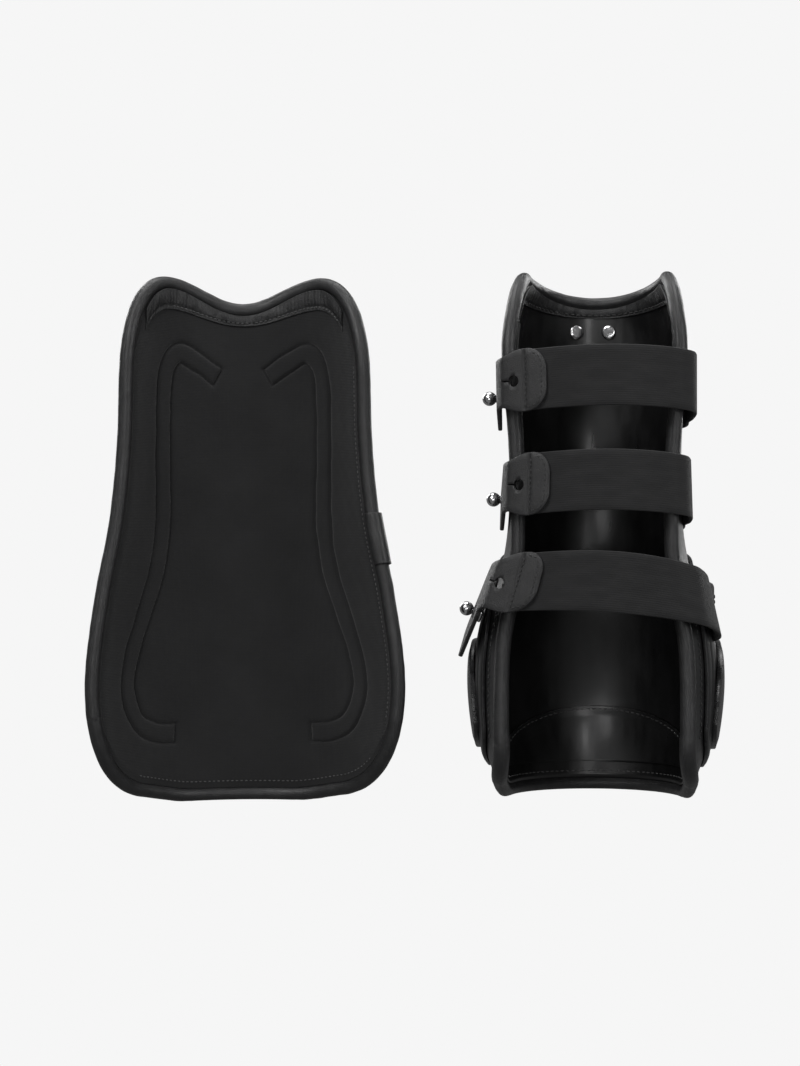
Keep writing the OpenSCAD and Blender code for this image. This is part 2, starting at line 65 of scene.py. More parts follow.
# boot stations of [height, size]
FLANK = [
    [0, 46], [12, 50], [26, 54.5], [50, 58], [70, 58], [90, 54.5],
    [115, 46.5], [140, 42.8], [175, 42.4], [222, 45.2], [245, 42.5], [262, 35],
]
MOUTH = [
    [0, 40], [14, 45.5], [30, 48.6], [55, 48.8], [80, 47.5], [105, 43],
    [129, 40.4], [175, 41], [222, 44.2], [245, 40], [262, 32],
]
HEEL = [[0, 46], [30, 51], [60, 50], [95, 44], [130, 41], [180, 41], [228, 43], [262, 43]]
WING = [[0, 40], [30, 42], [60, 42], [95, 41], [130, 40], [180, 39], [228, 39], [262, 37]]
BACK_SHARE = 0.58
SOLE_RISE = 12
FLAT_SHARE = 0.5
TOE_START = 0.84
TOE_DROP = 13
BOOT_HEIGHT = 262.5
ROLL_SIZE = 7.2
GAP = 0.06
ROLL_LAP = 0.45
SHELL = (0, 2)
FOAM = (2.06, 4.86)
LINING = (4.92, 5.92)
TRIM = (6.22, 6.92)
CUP = (6.52, 7.22)
OVERLAY = (-2.14, -0.54)
GUARD = (-4.79, -2.59)
GUARD_LIFT = 2.59
TRIM_GAP = 0.3

# liner stations of [height, half width]
LINER_SIDE = [[0, 66], [28, 71], [60, 74], [100, 69.5], [138, 62.5], [175, 59], [211, 58], [258, 56]]
LINER_BEND = math.radians(62)
LINER_HEIGHT = 258
BINDING_SIZE = 7
BACKING = (0, 0.8)
CORE = (0.86, 4.86)
FACE = (4.92, 5.72)
LINER_TRIM = (6.02, 6.72)
# middle line of a C-shaped tape, as [place along it, s, height]
TAPE_LINE = [
    [0, 0.19, 209], [1, 0.35, 216], [2, 0.52, 220], [3, 0.63, 208], [4, 0.635, 174], [5, 0.59, 138],
    [6, 0.59, 113], [7, 0.65, 93], [8, 0.716, 73], [9, 0.74, 56], [10, 0.68, 41], [11, 0.56, 35],
    [12, 0.42, 34],
]
TAPE_WIDTH = 9.5

# straps: [fold place, outward turn, lean, droop, tab length, stud drop, height and lean of the sewn end,
#          half width at the right corner, half width at the sewn end, patch end, spare hole]
STRAPS = {
    "top": ((-45, -48, 203.5), 2, -1, 16, 48, 5.5, 201, 0, 45.8, 45.4, 27, 10),
    "middle": ((-41.8, -48.5, 154), 4, 2, 16, 48, 5.8, 150.5, 2, 42.6, 43.8, 27, 10),
    "bottom": ((-50, -50, 107), 6, 18, 36, 58, 14.5, 93, 13, 48.4, 56.4, 27, 7.5),
}
STRAP_LINE = [
    [0, 0, 0], [7, 0.058, -3.2], [14, 0.125, -5.2], [30, 0.285, -8.6], [54, 0.53, -10.4],
    [78, 0.77, -8.6], [92, 0.905, -4.4], [103, 0.985, 3.4], [112, 1, 12], [126, 1, 26], [140, 1, 40],
]
STRAP_LENGTH = 133.5
STRAP_TURN = 97
STRAP_DROOP = 2.5
PATCH_START = 2.2
ANCHOR_FRONT = 0.711
ANCHOR_BACK = {"top": 0.456, "middle": 0.456, "bottom": 0.585}
ANCHOR_FALL = {"top": 8, "middle": 12, "bottom": 20}
ANCHOR_LIFT = {"top": TRIM_GAP, "middle": TRIM_GAP, "bottom": GUARD_LIFT}
ELASTIC_WIDTH = 29
ELASTIC_WALL = 1.8
LEATHER_WALL = 2
TAB_WIDTH = 24
TIP_RADIUS = 10.5
STUD_REACH = 26
STUD_SEATS = {"top": (1.75, 8.9), "middle": (1.6, 8.7), "bottom": (2.4, 12.3)}
BALL_RADIUS = 3.5
BALL_HEIGHT = 5.8
RIVET_SHARES = (-0.1, 0.06)
RIVET_HEIGHT = 235

# how far the trims reach across the boot, as shares of its half width
OVERLAY_LIMIT = 0.9185
GUARD_LIMIT = 0.8367
CUP_LIMIT = 0.5775
COLLAR_LIMIT = 0.8794
TAPE_NEAR = 0.6527
TAPE_SPAN = 0.2267
BADGE_LIMIT = 0.2625
FLOOR_CLEARANCE = 0.02
ELASTIC_START = 12
STRAP_BULGE = 1.8
STRAP_ARCH = 4


# ---------- curves and forms ----------

def mix(a, b, t):
    return a + (b - a) * t


def clip(t):
    return np.clip(t, 0, 1)


def ease(t):
    return t * t * (3 - 2 * t)


def bell(x, width):
    return np.exp(-((x / width) ** 2))


def unit(v):
    return v / np.linalg.norm(v, axis=-1, keepdims=True)


def curve(stations, x, value=1):
    """Smooth curve through stations of [place, value, ...]."""
    table = np.array(stations, float)
    places, sizes = table[:, 0], table[:, value]
    last = len(places) - 1
    before = np.maximum(np.arange(last + 1) - 1, 0)
    after = np.minimum(np.arange(last + 1) + 1, last)
    slopes = (sizes[after] - sizes[before]) / (places[after] - places[before])
    x = np.asarray(x, float)
    i = np.clip(np.searchsorted(places, x, side="right") - 1, 0, last - 1)
    width = places[i + 1] - places[i]
    t = (x - places[i]) / width
    a, b = sizes[i], sizes[i + 1]
    lift = width * slopes[i] - (b - a)
    fall = (b - a) - width * slopes[i + 1]
    return a + (b - a) * t + t * (1 - t) * ((1 - t) * lift + t * fall)


def corner(share, start, drop):
    t = clip((share - start) / (1 - start))
    return drop * (1 - np.sqrt(np.maximum(0, 1 - t * t)))


def boot_line(s, z):
    share = np.abs(s)
    back = clip(share / BACK_SHARE) * math.pi / 2
    forward = np.maximum(0, (share - BACK_SHARE) / (1 - BACK_SHARE))
    half = curve(FLANK, z)
    width = half * np.sin(back) - (half - curve(MOUTH, z)) * forward**2.5
    x = np.where(s < 0, -1.0, 1.0) * width
    y = curve(HEEL, z) * np.cos(back) - curve(WING, z) * forward
    return np.stack(np.broadcast_arrays(x, y), -1)


def boot_form(s, z, depth):
    s, z, depth = np.broadcast_arrays(np.asarray(s, float), np.asarray(z, float), np.asarray(depth, float))
    here = boot_line(s, z)
    run = unit(boot_line(s + STEP, z) - boot_line(s - STEP, z))
    return np.stack([here[..., 0] + run[..., 1] * depth, here[..., 1] - run[..., 0] * depth, z], -1)


def boot_top(s):
    dip = 9 * (0.5 + 0.5 * np.cos(math.pi * clip(np.abs(s) / BACK_SHARE)))
    return BOOT_HEIGHT - ROLL_SIZE - GAP - dip - corner(np.abs(s), BACK_SHARE, 40)


def boot_bottom(s):
    lift = SOLE_RISE * ease(clip((np.abs(s) - FLAT_SHARE) / (1 - FLAT_SHARE)))
    return ROLL_SIZE + GAP - 1 + lift + corner(np.abs(s), TOE_START, TOE_DROP)


def liner_form(s, z, depth):
    s, z, depth = np.broadcast_arrays(np.asarray(s, float), np.asarray(z, float), np.asarray(depth, float))
    radius = curve(LINER_SIDE, z) / math.sin(LINER_BEND)
    turn = LINER_BEND * s
    return np.stack([(radius - depth) * np.sin(turn), (radius - depth) * np.cos(turn) - radius, z], -1)


def liner_top(s):
    dip = 12 * (0.5 + 0.5 * np.cos(math.pi * clip(np.abs(s) / 0.62)))
    return LINER_HEIGHT - BINDING_SIZE - GAP - dip - corner(np.abs(s), 0.62, 42)


def liner_bottom(s):
    return BINDING_SIZE + GAP - 1 + 5 * ease(clip(np.abs(s) * 2 - 0.6)) + corner(np.abs(s), 0.66, 34)


def ripple(u, v, seed, pitch, count=7):
    """Smooth irregular waves of about one pitch, between -1 and 1."""
    rng = np.random.default_rng(seed)
    total = 0
    for _ in range(count):
        angle = rng.uniform(0, math.pi)
        scale = 2 * math.pi / (pitch * rng.uniform(0.6, 1.7))
        total = total + np.sin((u * math.cos(angle) + v * math.sin(angle)) * scale + rng.uniform(0, 6.3))
    return total / count * 1.6


# ---------- meshes ----------

def placed(points, place):
    """Points of one item, in its own frame, moved to where the item stands."""
    x, y, turn = place
    a = math.radians(turn)
    out = np.array(points, float)
    px, py = out[..., 0].copy(), out[..., 1].copy()
    out[..., 0] = px * math.cos(a) - py * math.sin(a) + x
    out[..., 1] = px * math.sin(a) + py * math.cos(a) + y
    return out


def build(name, points, faces, material, place, uv=None):
    """A smooth mesh object from points in an item's frame, with its fabric coordinates in millimetres."""
    mesh = bpy.data.meshes.new(name)
    mesh.from_pydata((placed(points, place) * MM).tolist(), [], faces)
    if uv is not None:
        layer = mesh.uv_layers.new(name="fabric")
        index = np.zeros(len(mesh.loops), int)
        mesh.loops.foreach_get("vertex_index", index)
        layer.data.foreach_set("uv", np.asarray(uv, np.float32)[index].ravel())
    work = bmesh.new()
    work.from_mesh(mesh)
    bmesh.ops.recalc_face_normals(work, faces=work.faces)
    work.to_mesh(mesh)
    work.free()
    mesh.polygons.foreach_set("use_smooth", [True] * len(mesh.polygons))
    mesh.materials.append(material)
    obj = bpy.data.objects.new(name, mesh)
    bpy.context.scene.collection.objects.link(obj)
    return obj


def wear(obj, body, slot, *nodes):
    """The piece rides on a body and hides the CAD nodes it stands for. Its slot is not used."""
    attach(obj, body)
    if nodes:
        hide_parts(*nodes)
    return obj


def round_rims(obj, width):
    edge = obj.modifiers.new("rim", "BEVEL")
    edge.limit_method = "ANGLE"
    edge.angle_limit = math.radians(50)
    edge.width = width * MM
    edge.segments = 2
    return obj


def grid_faces(rows, columns, start=0):
    return [
        (start + j * columns + i, start + j * columns + i + 1,
         start + (j + 1) * columns + i + 1, start + (j + 1) * columns + i)
        for j in range(rows - 1)
        for i in range(columns - 1)
    ]


def ring_faces(rings, sides, first=0, closed=False):
    """Faces between rings of points that are stored one after the other, from point number first on."""
    faces = []
    for k in range(rings if closed else rings - 1):
        here = first + k * sides
        there = first + (k + 1) % rings * sides
        for i in range(sides):
            ahead = (i + 1) % sides
            faces.append((here + i, here + ahead, there + ahead, there + i))
    return faces


def rim_faces(rows, columns):
    """Faces that join the edges of two grids, one stored after the other."""
    count = rows * columns
    rim = (
        [i for i in range(columns - 1)]
        + [j * columns + columns - 1 for j in range(rows - 1)]
        + [(rows - 1) * columns + i for i in range(columns - 1, 0, -1)]
        + [j * columns for j in range(rows - 1, 0, -1)]
    )
    return [(a, b, b + count, a + count) for a, b in zip(rim, rim[1:] + rim[:1])]


def slab(name, form, place, material, span, low, high, depths, size, relief=None, bunch=0.0):
    """A thick sheet on a form. relief(s, z, v) moves its second face by millimetres, away from the first."""
    columns, rows = size
    share = np.linspace(0, 1, columns)
    share = mix(share, 0.5 - 0.5 * np.cos(math.pi * share), bunch)
    s = np.broadcast_to(mix(span[0], span[1], share), (rows, columns))
    v = np.broadcast_to(np.linspace(0, 1, rows)[:, None], (rows, columns))
    z = mix(low(s), high(s), v)
    direction = 1 if depths[1] > depths[0] else -1
    near = form(s, z, depths[0])
    lift = relief(s, z, v) if relief else 0
    far = form(s, z, depths[1] + direction * lift)
    lengths = np.linalg.norm(np.diff(form(s, z, 0), axis=1), axis=-1)
    along = np.concatenate([np.zeros((rows, 1)), np.cumsum(lengths, axis=1)], axis=1)
    along = along - along[:, columns // 2][:, None]
    uv = np.stack([along, z], -1).reshape(-1, 2)
    points = np.concatenate([near.reshape(-1, 3), far.reshape(-1, 3)])
    count = rows * columns
    faces = grid_faces(rows, columns) + grid_faces(rows, columns, count) + rim_faces(rows, columns)
    return build(name, points, faces, material, place, np.concatenate([uv, uv]))


def outline(low, high, form, depth, pitch):
    """Even stations round the edge of a sheet: middle, outward, away from the sheet, and share across."""
    turn = np.linspace(-1, 1, 400) * math.radians(88)
    s = np.sin(turn) / math.sin(math.radians(88))
    left = np.full(160, -1.0)
    rise = np.linspace(0, 1, 160)
    z_left = mix(low(-1.0), high(-1.0), rise)
    path_s = np.concatenate([left[:-1], s[:-1], -left[:-1], s[::-1][:-1]])
    path_z = np.concatenate([z_left[:-1], high(s)[:-1], z_left[::-1][:-1], low(s)[::-1][:-1]])
    points = form(path_s, path_z, depth)
    steps = np.linalg.norm(np.roll(points, -1, 0) - points, axis=-1)
    distance = np.concatenate([[0], np.cumsum(steps)])
    count = int(distance[-1] / pitch)
    even = np.linspace(0, distance[-1], count, endpoint=False)
    s_even = np.interp(even, distance, np.append(path_s, path_s[0]))
    z_even = np.interp(even, distance, np.append(path_z, path_z[0]))
    for _ in range(3):
        s_even = (np.roll(s_even, 1) + 2 * s_even + np.roll(s_even, -1)) / 4
        z_even = (np.roll(z_even, 1) + 2 * z_even + np.roll(z_even, -1)) / 4
    middle = form(s_even, z_even, depth)
    run = unit(np.roll(middle, -1, 0) - np.roll(middle, 1, 0))
    out = form(s_even, z_even, depth - 1) - middle
    out = unit(out - run * np.sum(out * run, -1, keepdims=True))
    return {"middle": middle, "out": out, "away": np.cross(run, out), "run": run, "s": s_even, "at": even}


def tube(name, path, radius, material, place, sides, relief):
    """A padded roll along an outline, lapped a little over it. relief(angle, path) adds to its radius."""
    count = len(path["middle"])
    radius = np.broadcast_to(radius, (count,))
    angle = np.arange(sides) * 2 * math.pi / sides
    centre = path["middle"] + path["away"] * (radius - ROLL_LAP)[:, None]
    size = radius[:, None] + relief(angle[None, :], path)
    ring = (
        centre[:, None, :]
        + path["away"][:, None, :] * (size * np.cos(angle))[..., None]
        + path["out"][:, None, :] * (size * np.sin(angle))[..., None]
    )
    ring[..., 2] = np.maximum(ring[..., 2], FLOOR_CLEARANCE)
    faces = ring_faces(count, sides, closed=True)
    uv = np.stack(np.broadcast_arrays(path["at"][:, None], angle[None, :] * radius[:, None]), -1)
    return build(name, ring.reshape(-1, 3), faces, material, place, uv.reshape(-1, 2))


def ribbon(name, stations, material, place):
    """A strip along stations of [middle, outward, across, half width, half wall, lift], with rounded edges.
    The cross-section is [share of the half width, share of the half wall]."""
    section = [(t, 1) for t in np.linspace(-0.96, 0.96, 13)]
    section += [(0.99, 0.75), (1, 0.3), (1, -0.3), (0.99, -0.75)]
    section += [(t, -1) for t in np.linspace(0.96, -0.96, 13)]
    section += [(-0.99, -0.75), (-1, -0.3), (-1, 0.3), (-0.99, 0.75)]
    size = len(section)
    count = len(stations)
    points, uv = [], []
    distance = 0.0
    for k, (middle, out, across, half, wall, lift) in enumerate(stations):
        if k:
            distance += np.linalg.norm(middle - stations[k - 1][0])
        for share, height in section:
            bump = lift(share) if lift and height == 1 else 0
            points.append(middle + across * (share * half) + out * (height * wall + bump))
            uv.append((distance, share * half + (height < 0) * 2 * half))
    faces = ring_faces(count, size)
    faces.append(tuple(range(size)))
    faces.append(tuple((count - 1) * size + i for i in range(size - 1, -1, -1)))
    return build(name, np.array(points), faces, material, place, uv)


def stitches(name, path, normals, material, place, pitch=3.0, length=2.1, radius=0.32):
    """A row of sewn stitches along a line, each a short rounded thread lying on the surface."""
    path, normals = np.asarray(path, float), np.asarray(normals, float)
    steps = np.linalg.norm(np.diff(path, axis=0), axis=-1)
    distance = np.concatenate([[0], np.cumsum(steps)])
    starts = np.arange(pitch / 2, distance[-1] - pitch / 2, pitch)
    profile = [
        (-0.5, 0.25, -0.7), (-0.42, 0.8, -0.1), (-0.15, 1, 0.55),
        (0.15, 1, 0.55), (0.42, 0.8, -0.1), (0.5, 0.25, -0.7),
    ]
    sides = 6
    rng = np.random.default_rng(len(starts))
    points, faces = [], []
    for start in starts:
        middle = np.array([np.interp(start, distance, path[:, i]) for i in range(3)])
        up = unit(np.array([np.interp(start, distance, normals[:, i]) for i in range(3)]))
        ahead = np.array([np.interp(start + 0.5, distance, path[:, i]) for i in range(3)])
        run = unit(ahead - middle + up * 1e-9)
        side = unit(np.cross(up, run))
        run = unit(run + side * rng.uniform(-0.12, 0.12))
        first = len(points)
        for place_along, thick, height in profile:
            for i in range(sides):
                turn = i * 2 * math.pi / sides
                points.append(
                    middle + run * (place_along * length) + up * (radius * (height + thick * math.sin(turn)))
                    + side * (radius * thick * math.cos(turn))
                )
        faces += ring_faces(len(profile), sides, first)
        faces.append(tuple(first + i for i in range(sides)))
        faces.append(tuple(first + (len(profile) - 1) * sides + i for i in range(sides - 1, -1, -1)))
    return build(name, np.array(points), faces, material, place)


def lathe(name, profile, matrix, material, place, segments=48):
    """A turned piece from [radius, height] points, about the third axis of a 4 x 4 matrix."""
    points = []
    for radius, height in profile:
        for i in range(segments):
            turn = i * 2 * math.pi / segments
            points.append((matrix @ [radius * math.cos(turn), radius * math.sin(turn), height, 1])[:3])
    faces = ring_faces(len(profile), segments)
    faces.append(tuple(range(segments - 1, -1, -1)))
    faces.append(tuple((len(profile) - 1) * segments + i for i in range(segments)))
    return build(name, np.array(points), faces, material, place)


def turned(axis, degrees):
    a = math.radians(degrees)
    c, s = math.cos(a), math.sin(a)
    m = np.eye(4)
    first, second = [(1, 2), (2, 0), (0, 1)][axis]
    m[first, first] = m[second, second] = c
    m[first, second], m[second, first] = -s, s
    return m


def moved(x, y, z):
    m = np.eye(4)
    m[:3, 3] = (x, y, z)
    return m


def tab_frame(strap):
    return moved(*strap[0]) @ turned(2, strap[1]) @ turned(1, strap[2])


def stud_frame(strap):
    return tab_frame(strap) @ moved(0, STUD_REACH, -strap[5]) @ turned(1, -90)


# ---------- materials ----------

class Finish:
    """A node material under construction, with helpers for its usual parts."""

    def __init__(self, name, colour, roughness, coords="UV"):
        self.material = bpy.data.materials.new(name)
        self.material.use_nodes = True
        self.material.diffuse_color = (*colour, 1)
        tree = self.material.node_tree
        self.nodes, self.links = tree.nodes, tree.links
        self.shader = next(n for n in self.nodes if n.type == "BSDF_PRINCIPLED")
        self.shader.inputs["Base Color"].default_value = (*colour, 1)
        self.shader.inputs["Roughness"].default_value = roughness
        self.colour, self.roughness = colour, roughness
        self.coords = self.nodes.new("ShaderNodeTexCoord").outputs[coords]
        self.height = None

    def scaled(self, scale):
        node = self.nodes.new("ShaderNodeMapping")
        node.inputs["Scale"].default_value = scale
        self.links.new(self.coords, node.inputs["Vector"])
        return node.outputs["Vector"]

    def noise(self, scale, detail=3.0, stretch=(1, 1, 1)):
        node = self.nodes.new("ShaderNodeTexNoise")
        node.inputs["Scale"].default_value = scale
        node.inputs["Detail"].default_value = detail
        self.links.new(self.scaled(stretch), node.inputs["Vector"])
        return node.outputs["Fac"]

    def cells(self, scale):
        node = self.nodes.new("ShaderNodeTexVoronoi")
        node.feature = "DISTANCE_TO_EDGE"
        node.inputs["Scale"].default_value = scale
        self.links.new(self.coords, node.inputs["Vector"])
        return self.ramp(node.outputs["Distance"], 0.0, 0.12)

    def wave(self, scale, direction, distortion=0.0):
        node = self.nodes.new("ShaderNodeTexWave")
        node.bands_direction = direction
        node.inputs["Scale"].default_value = scale
        node.inputs["Distortion"].default_value = distortion
        self.links.new(self.coords, node.inputs["Vector"])
        return node.outputs["Fac"]

    def ramp(self, value, low, high, to_low=0.0, to_high=1.0):
        node = self.nodes.new("ShaderNodeMapRange")
        for socket, number in zip(("From Min", "From Max", "To Min", "To Max"), (low, high, to_low, to_high)):
            node.inputs[socket].default_value = number
        self.links.new(value, node.inputs["Value"])
        return node.outputs["Result"]

    def times(self, a, b):
        node = self.nodes.new("ShaderNodeMath")
        node.operation = "MULTIPLY"
        self.links.new(a, node.inputs[0])
        self.links.new(b, node.inputs[1])
        return node.outputs["Value"]

    def tint(self, value, other):
        """Mixes the colour so far with another one, where value is high."""
        node = self.nodes.new("ShaderNodeMix")
        node.data_type = "RGBA"
        node.inputs["A"].default_value = (*self.colour, 1)
        node.inputs["B"].default_value = (*other, 1)
        socket = self.shader.inputs["Base Color"]
        if socket.links:
            self.links.new(socket.links[0].from_socket, node.inputs["A"])
        self.links.new(value, node.inputs["Factor"])
        self.links.new(node.outputs["Result"], socket)

    def edges(self, other, low=0.52, high=0.6):
        """Rubbed edges, where the surface is most convex."""
        point = self.nodes.new("ShaderNodeNewGeometry").outputs["Pointiness"]
        self.tint(self.ramp(point, low, high), other)

    def vary_roughness(self, value, low, high):
        self.links.new(self.ramp(value, 0.3, 0.7, low, high), self.shader.inputs["Roughness"])

    def bump(self, value, depth, strength=1.0):
        """Adds a bump of so many millimetres."""
        node = self.nodes.new("ShaderNodeBump")
        node.inputs["Distance"].default_value = depth * MM
        node.inputs["Strength"].default_value = strength
        self.links.new(value, node.inputs["Height"])
        socket = self.shader.inputs["Normal"]
        if socket.links:
            self.links.new(socket.links[0].from_socket, node.inputs["Normal"])
        self.links.new(node.outputs["Normal"], socket)

    def set(self, **values):
        for name, value in values.items():
            self.shader.inputs[name.replace("_", " ")].default_value = value
        return self


def leather(name, base, roughness, grain=0.05):
    f = Finish(name, base, roughness)
    lighter = tuple(c * 1.5 for c in base)
    f.tint(f.ramp(f.noise(0.12, 5), 0.4, 0.75), lighter)
    f.edges(tuple(c * 2.2 + 0.004 for c in base))
    f.vary_roughness(f.noise(0.5, 4), roughness - 0.07, roughness + 0.1)
    f.bump(f.cells(1.1), grain)
    f.bump(f.noise(3.2, 4), grain * 0.6)
    f.bump(f.noise(0.35, 2), grain * 2.2)
    f.set(Specular_IOR_Level=0.45)
    return f.material


def gloss(name, base, roughness):
    f = Finish(name, base, roughness)
    f.tint(f.ramp(f.noise(0.05, 5), 0.45, 0.8), tuple(c * 2.2 + 0.002 for c in base))
    f.vary_roughness(f.noise(0.16, 5, (1, 0.3, 1)), roughness - 0.05, roughness + 0.12)
    f.bump(f.noise(0.12, 2, (1, 0.35, 1)), 0.05)
    f.bump(f.noise(5.0, 3, (1, 0.08, 1)), 0.008)
    f.set(Specular_IOR_Level=0.5, Coat_Weight=0.15, Coat_Roughness=0.2)
    return f.material


def moulded(name, base, roughness):
    f = Finish(name, base, roughness)
    f.tint(f.ramp(f.noise(0.08, 4), 0.45, 0.8), tuple(c * 1.7 for c in base))
    f.edges(tuple(c * 2.5 + 0.004 for c in base))
    f.vary_roughness(f.noise(0.3, 4), roughness - 0.06, roughness + 0.1)
    f.bump(f.noise(1.6, 4), 0.03)
    f.bump(f.noise(0.2, 2), 0.1)
    return f.material


def knit():
    f = Finish("liner_knit", (0.0112, 0.0112, 0.0117), 0.92)
    f.tint(f.ramp(f.noise(0.03, 3), 0.35, 0.75), (0.016, 0.016, 0.0165))
    f.bump(f.times(f.wave(0.42, "X", 0.6), f.wave(0.42, "Y", 0.6)), 0.11)
    f.bump(f.noise(2.4, 5), 0.07)
    f.set(Specular_IOR_Level=0.2, Sheen_Weight=0.12, Sheen_Roughness=0.6)
    return f.material


def pile(name, base):
    """Short looped or hooked pile."""
    f = Finish(name, base, 0.95)
    f.tint(f.ramp(f.noise(0.5, 5), 0.4, 0.7), tuple(c * 1.9 for c in base))
    f.bump(f.cells(1.6), 0.25)
    f.bump(f.noise(2.8, 6), 0.25)
    f.set(Specular_IOR_Level=0.25, Sheen_Weight=0.2)
    return f.material


def webbing():
    f = Finish("elastic_ribs", (0.0135, 0.0135, 0.014), 0.82)
    f.tint(f.ramp(f.noise(0.06, 4, (1, 3, 1)), 0.4, 0.75), (0.021, 0.021, 0.0215))
    ribs = f.wave(0.3, "Y", 0.15)
    # painted shade: the colour is darkened in the low grooves between the ribs
    f.tint(f.ramp(ribs, 0.0, 0.5, 0.14, 0.0), (0.008, 0.008, 0.008))
    f.bump(ribs, 0.06)
    f.bump(f.wave(0.75, "X", 0.4), 0.05)
    f.bump(f.noise(3.0, 4), 0.04)
    f.set(Specular_IOR_Level=0.3, Sheen_Weight=0.1)
    return f.material


def rubber():
    f = Finish("neoprene_foam", (0.02, 0.02, 0.021), 0.8, "Object")
    f.tint(f.ramp(f.noise(900, 3), 0.4, 0.7), (0.035, 0.035, 0.036))
    f.bump(f.noise(1400, 4), 0.05)
    return f.material


def metal():
    f = Finish("polished_nickel", (0.72, 0.72, 0.73), 0.14, "Object")
    f.tint(f.ramp(f.noise(500, 5), 0.5, 0.8), (0.5, 0.5, 0.5))
    f.vary_roughness(f.noise(900, 5), 0.08, 0.26)
    f.bump(f.noise(1500, 3, (1, 1, 6)), 0.004)
    f.set(Metallic=1.0)
    return f.material


def thread(name, base):
    f = Finish(name, base, 0.7, "Object")
    f.tint(f.ramp(f.noise(700, 3), 0.35, 0.7), tuple(c * 0.55 for c in base))
    f.bump(f.noise(2600, 2, (1, 1, 0.4)), 0.03)
    f.set(Sheen_Weight=0.2)
    return f.material


ROLL_LEATHER = leather("roll_leather", (0.0165, 0.0165, 0.017), 0.36)
TAB_LEATHER = leather("tab_leather", (0.0175, 0.0175, 0.018), 0.5, 0.06)
FACING_LEATHER = leather("facing_leather", (0.0125, 0.0125, 0.013), 0.44, 0.07)
LINING_GLOSS = gloss("glossy_lining", (0.0035, 0.0035, 0.0037), 0.32)
SHELL_PLASTIC = moulded("moulded_shell", (0.011, 0.011, 0.0115), 0.34)
GUARD_PLASTIC = moulded("gloss_guard", (0.009, 0.009, 0.0095), 0.26)
KNIT = knit()
LOOP = pile("loop_pile", (0.007, 0.007, 0.0072))
HOOK = pile("hook_pile", (0.012, 0.012, 0.0125))
ELASTIC = webbing()
RUBBER = rubber()
METAL = metal()
DARK_THREAD = thread("dark_thread", (0.012, 0.012, 0.012))
GREY_THREAD = thread("grey_thread", (0.075, 0.075, 0.075))


# ---------- boot ----------

def boot_layers():
    size = (121, 121)
    for name, depths, material, slot in (
        ("outer_shell", SHELL[::-1], SHELL_PLASTIC, "moulded_leather"),
        ("impact_foam", FOAM, RUBBER, "foam"),
        ("shell_lining", LINING, LINING_GLOSS, "gloss_shell"),
    ):
        relief = lining_relief if name == "shell_lining" else None
        piece = slab(
            name + "_sheet", boot_form, BOOT_PLACE, material, (-1, 1), boot_bottom, boot_top, depths, size,
            relief, bunch=0.96,
        )
        wear(piece, "boot", slot, name)


def lining_relief(s, z, v):
    """Slight waves of a film stretched over foam, which die out at the edges."""
    calm = clip((1 - np.abs(s)) * 6) * clip(v * 8) * clip((1 - v) * 8)
    return -0.12 * calm * (1 + ripple(s * 60, z, 3, 38))


def boot_roll():
    path = outline(boot_bottom, boot_top, boot_form, LINING[1] / 2, 1.2)
    height = path["middle"][:, 2]
    share = np.abs(path["s"])
    low_corner = ease(clip((70 - height) / 60)) * ease(clip((share - 0.72) / 0.25))
    radius = ROLL_SIZE / 2 * (1 + 0.18 * low_corner)

    def relief(angle, path):
        at = path["at"][:, None]
        tuck = bell(np.abs(((angle - 4.1) + math.pi) % (2 * math.pi) - math.pi), 0.28)
        pucker = clip((path["middle"][:, 2:] - 195) / 40) * clip(1.4 - share[:, None])
        waves = 0.06 * ripple(at, angle * 3.6, 5, 9) + 0.05 * ripple(at, angle * 3.6, 6, 25)
        gathers = 0.16 * pucker * ripple(at, angle * 0.6, 8, 3.4) * clip(-np.sin(angle))
        return waves + gathers - 0.5 * tuck

    roll = tube("shell_edge_roll_leather", path, radius, ROLL_LEATHER, BOOT_PLACE, 24, relief)
    wear(roll, "boot", "moulded_leather", "shell_edge_roll")


def overlay_bottom(s):
    return 15 + SOLE_RISE * ease(clip(np.abs(s) * 2 - 1)) + corner(np.abs(s) / OVERLAY_LIMIT, 0.8, 12)


def overlay_top(s):
    return 124 - corner(np.abs(s) / OVERLAY_LIMIT, 0.3, 46)


def overlay_relief(s, z, v):
    """Two rounded ribs that run beside the front edge, with a groove between them."""
    edge = np.linalg.norm(boot_form(s, z, 0) - boot_form(np.sign(s + 1e-9) * OVERLAY_LIMIT, z, 0), axis=-1)
    low_edge = z - overlay_bottom(s)
    nearest = np.minimum(edge, low_edge * 1.1)
    rib = 0.75 * np.sqrt(np.maximum(0, 1 - ((nearest - 3.0) / 3.1) ** 2))
    rib = rib + 0.75 * np.sqrt(np.maximum(0, 1 - ((nearest - 9.6) / 3.0) ** 2))
    flat = 0.35 * ease(clip((nearest - 12.8) / 4))
    return rib + flat - 0.35


def guard_bottom(s):
    return 24 + corner(np.abs(s) / GUARD_LIMIT, 0.55, 15)


def guard_top(s):
    share = np.abs(s)
    return mix(214, 79, ease(clip((share - 0.05) / 0.38))) - corner(share / GUARD_LIMIT, 0.6, 34)


def guard_relief(s, z, v):
    """A crowned strike plate with a raised border and three soft channels."""
    border = np.minimum(v * 60, (1 - v) * 60)
    crown = 0.5 * ease(clip(border / 6)) * clip((GUARD_LIMIT - np.abs(s)) * 12)
    channels = sum(bell(z - level, 1.2) for level in (62, 70, 78)) * clip((0.6 - np.abs(s)) * 6)
    return crown - 0.45 * channels * clip(border / 6)


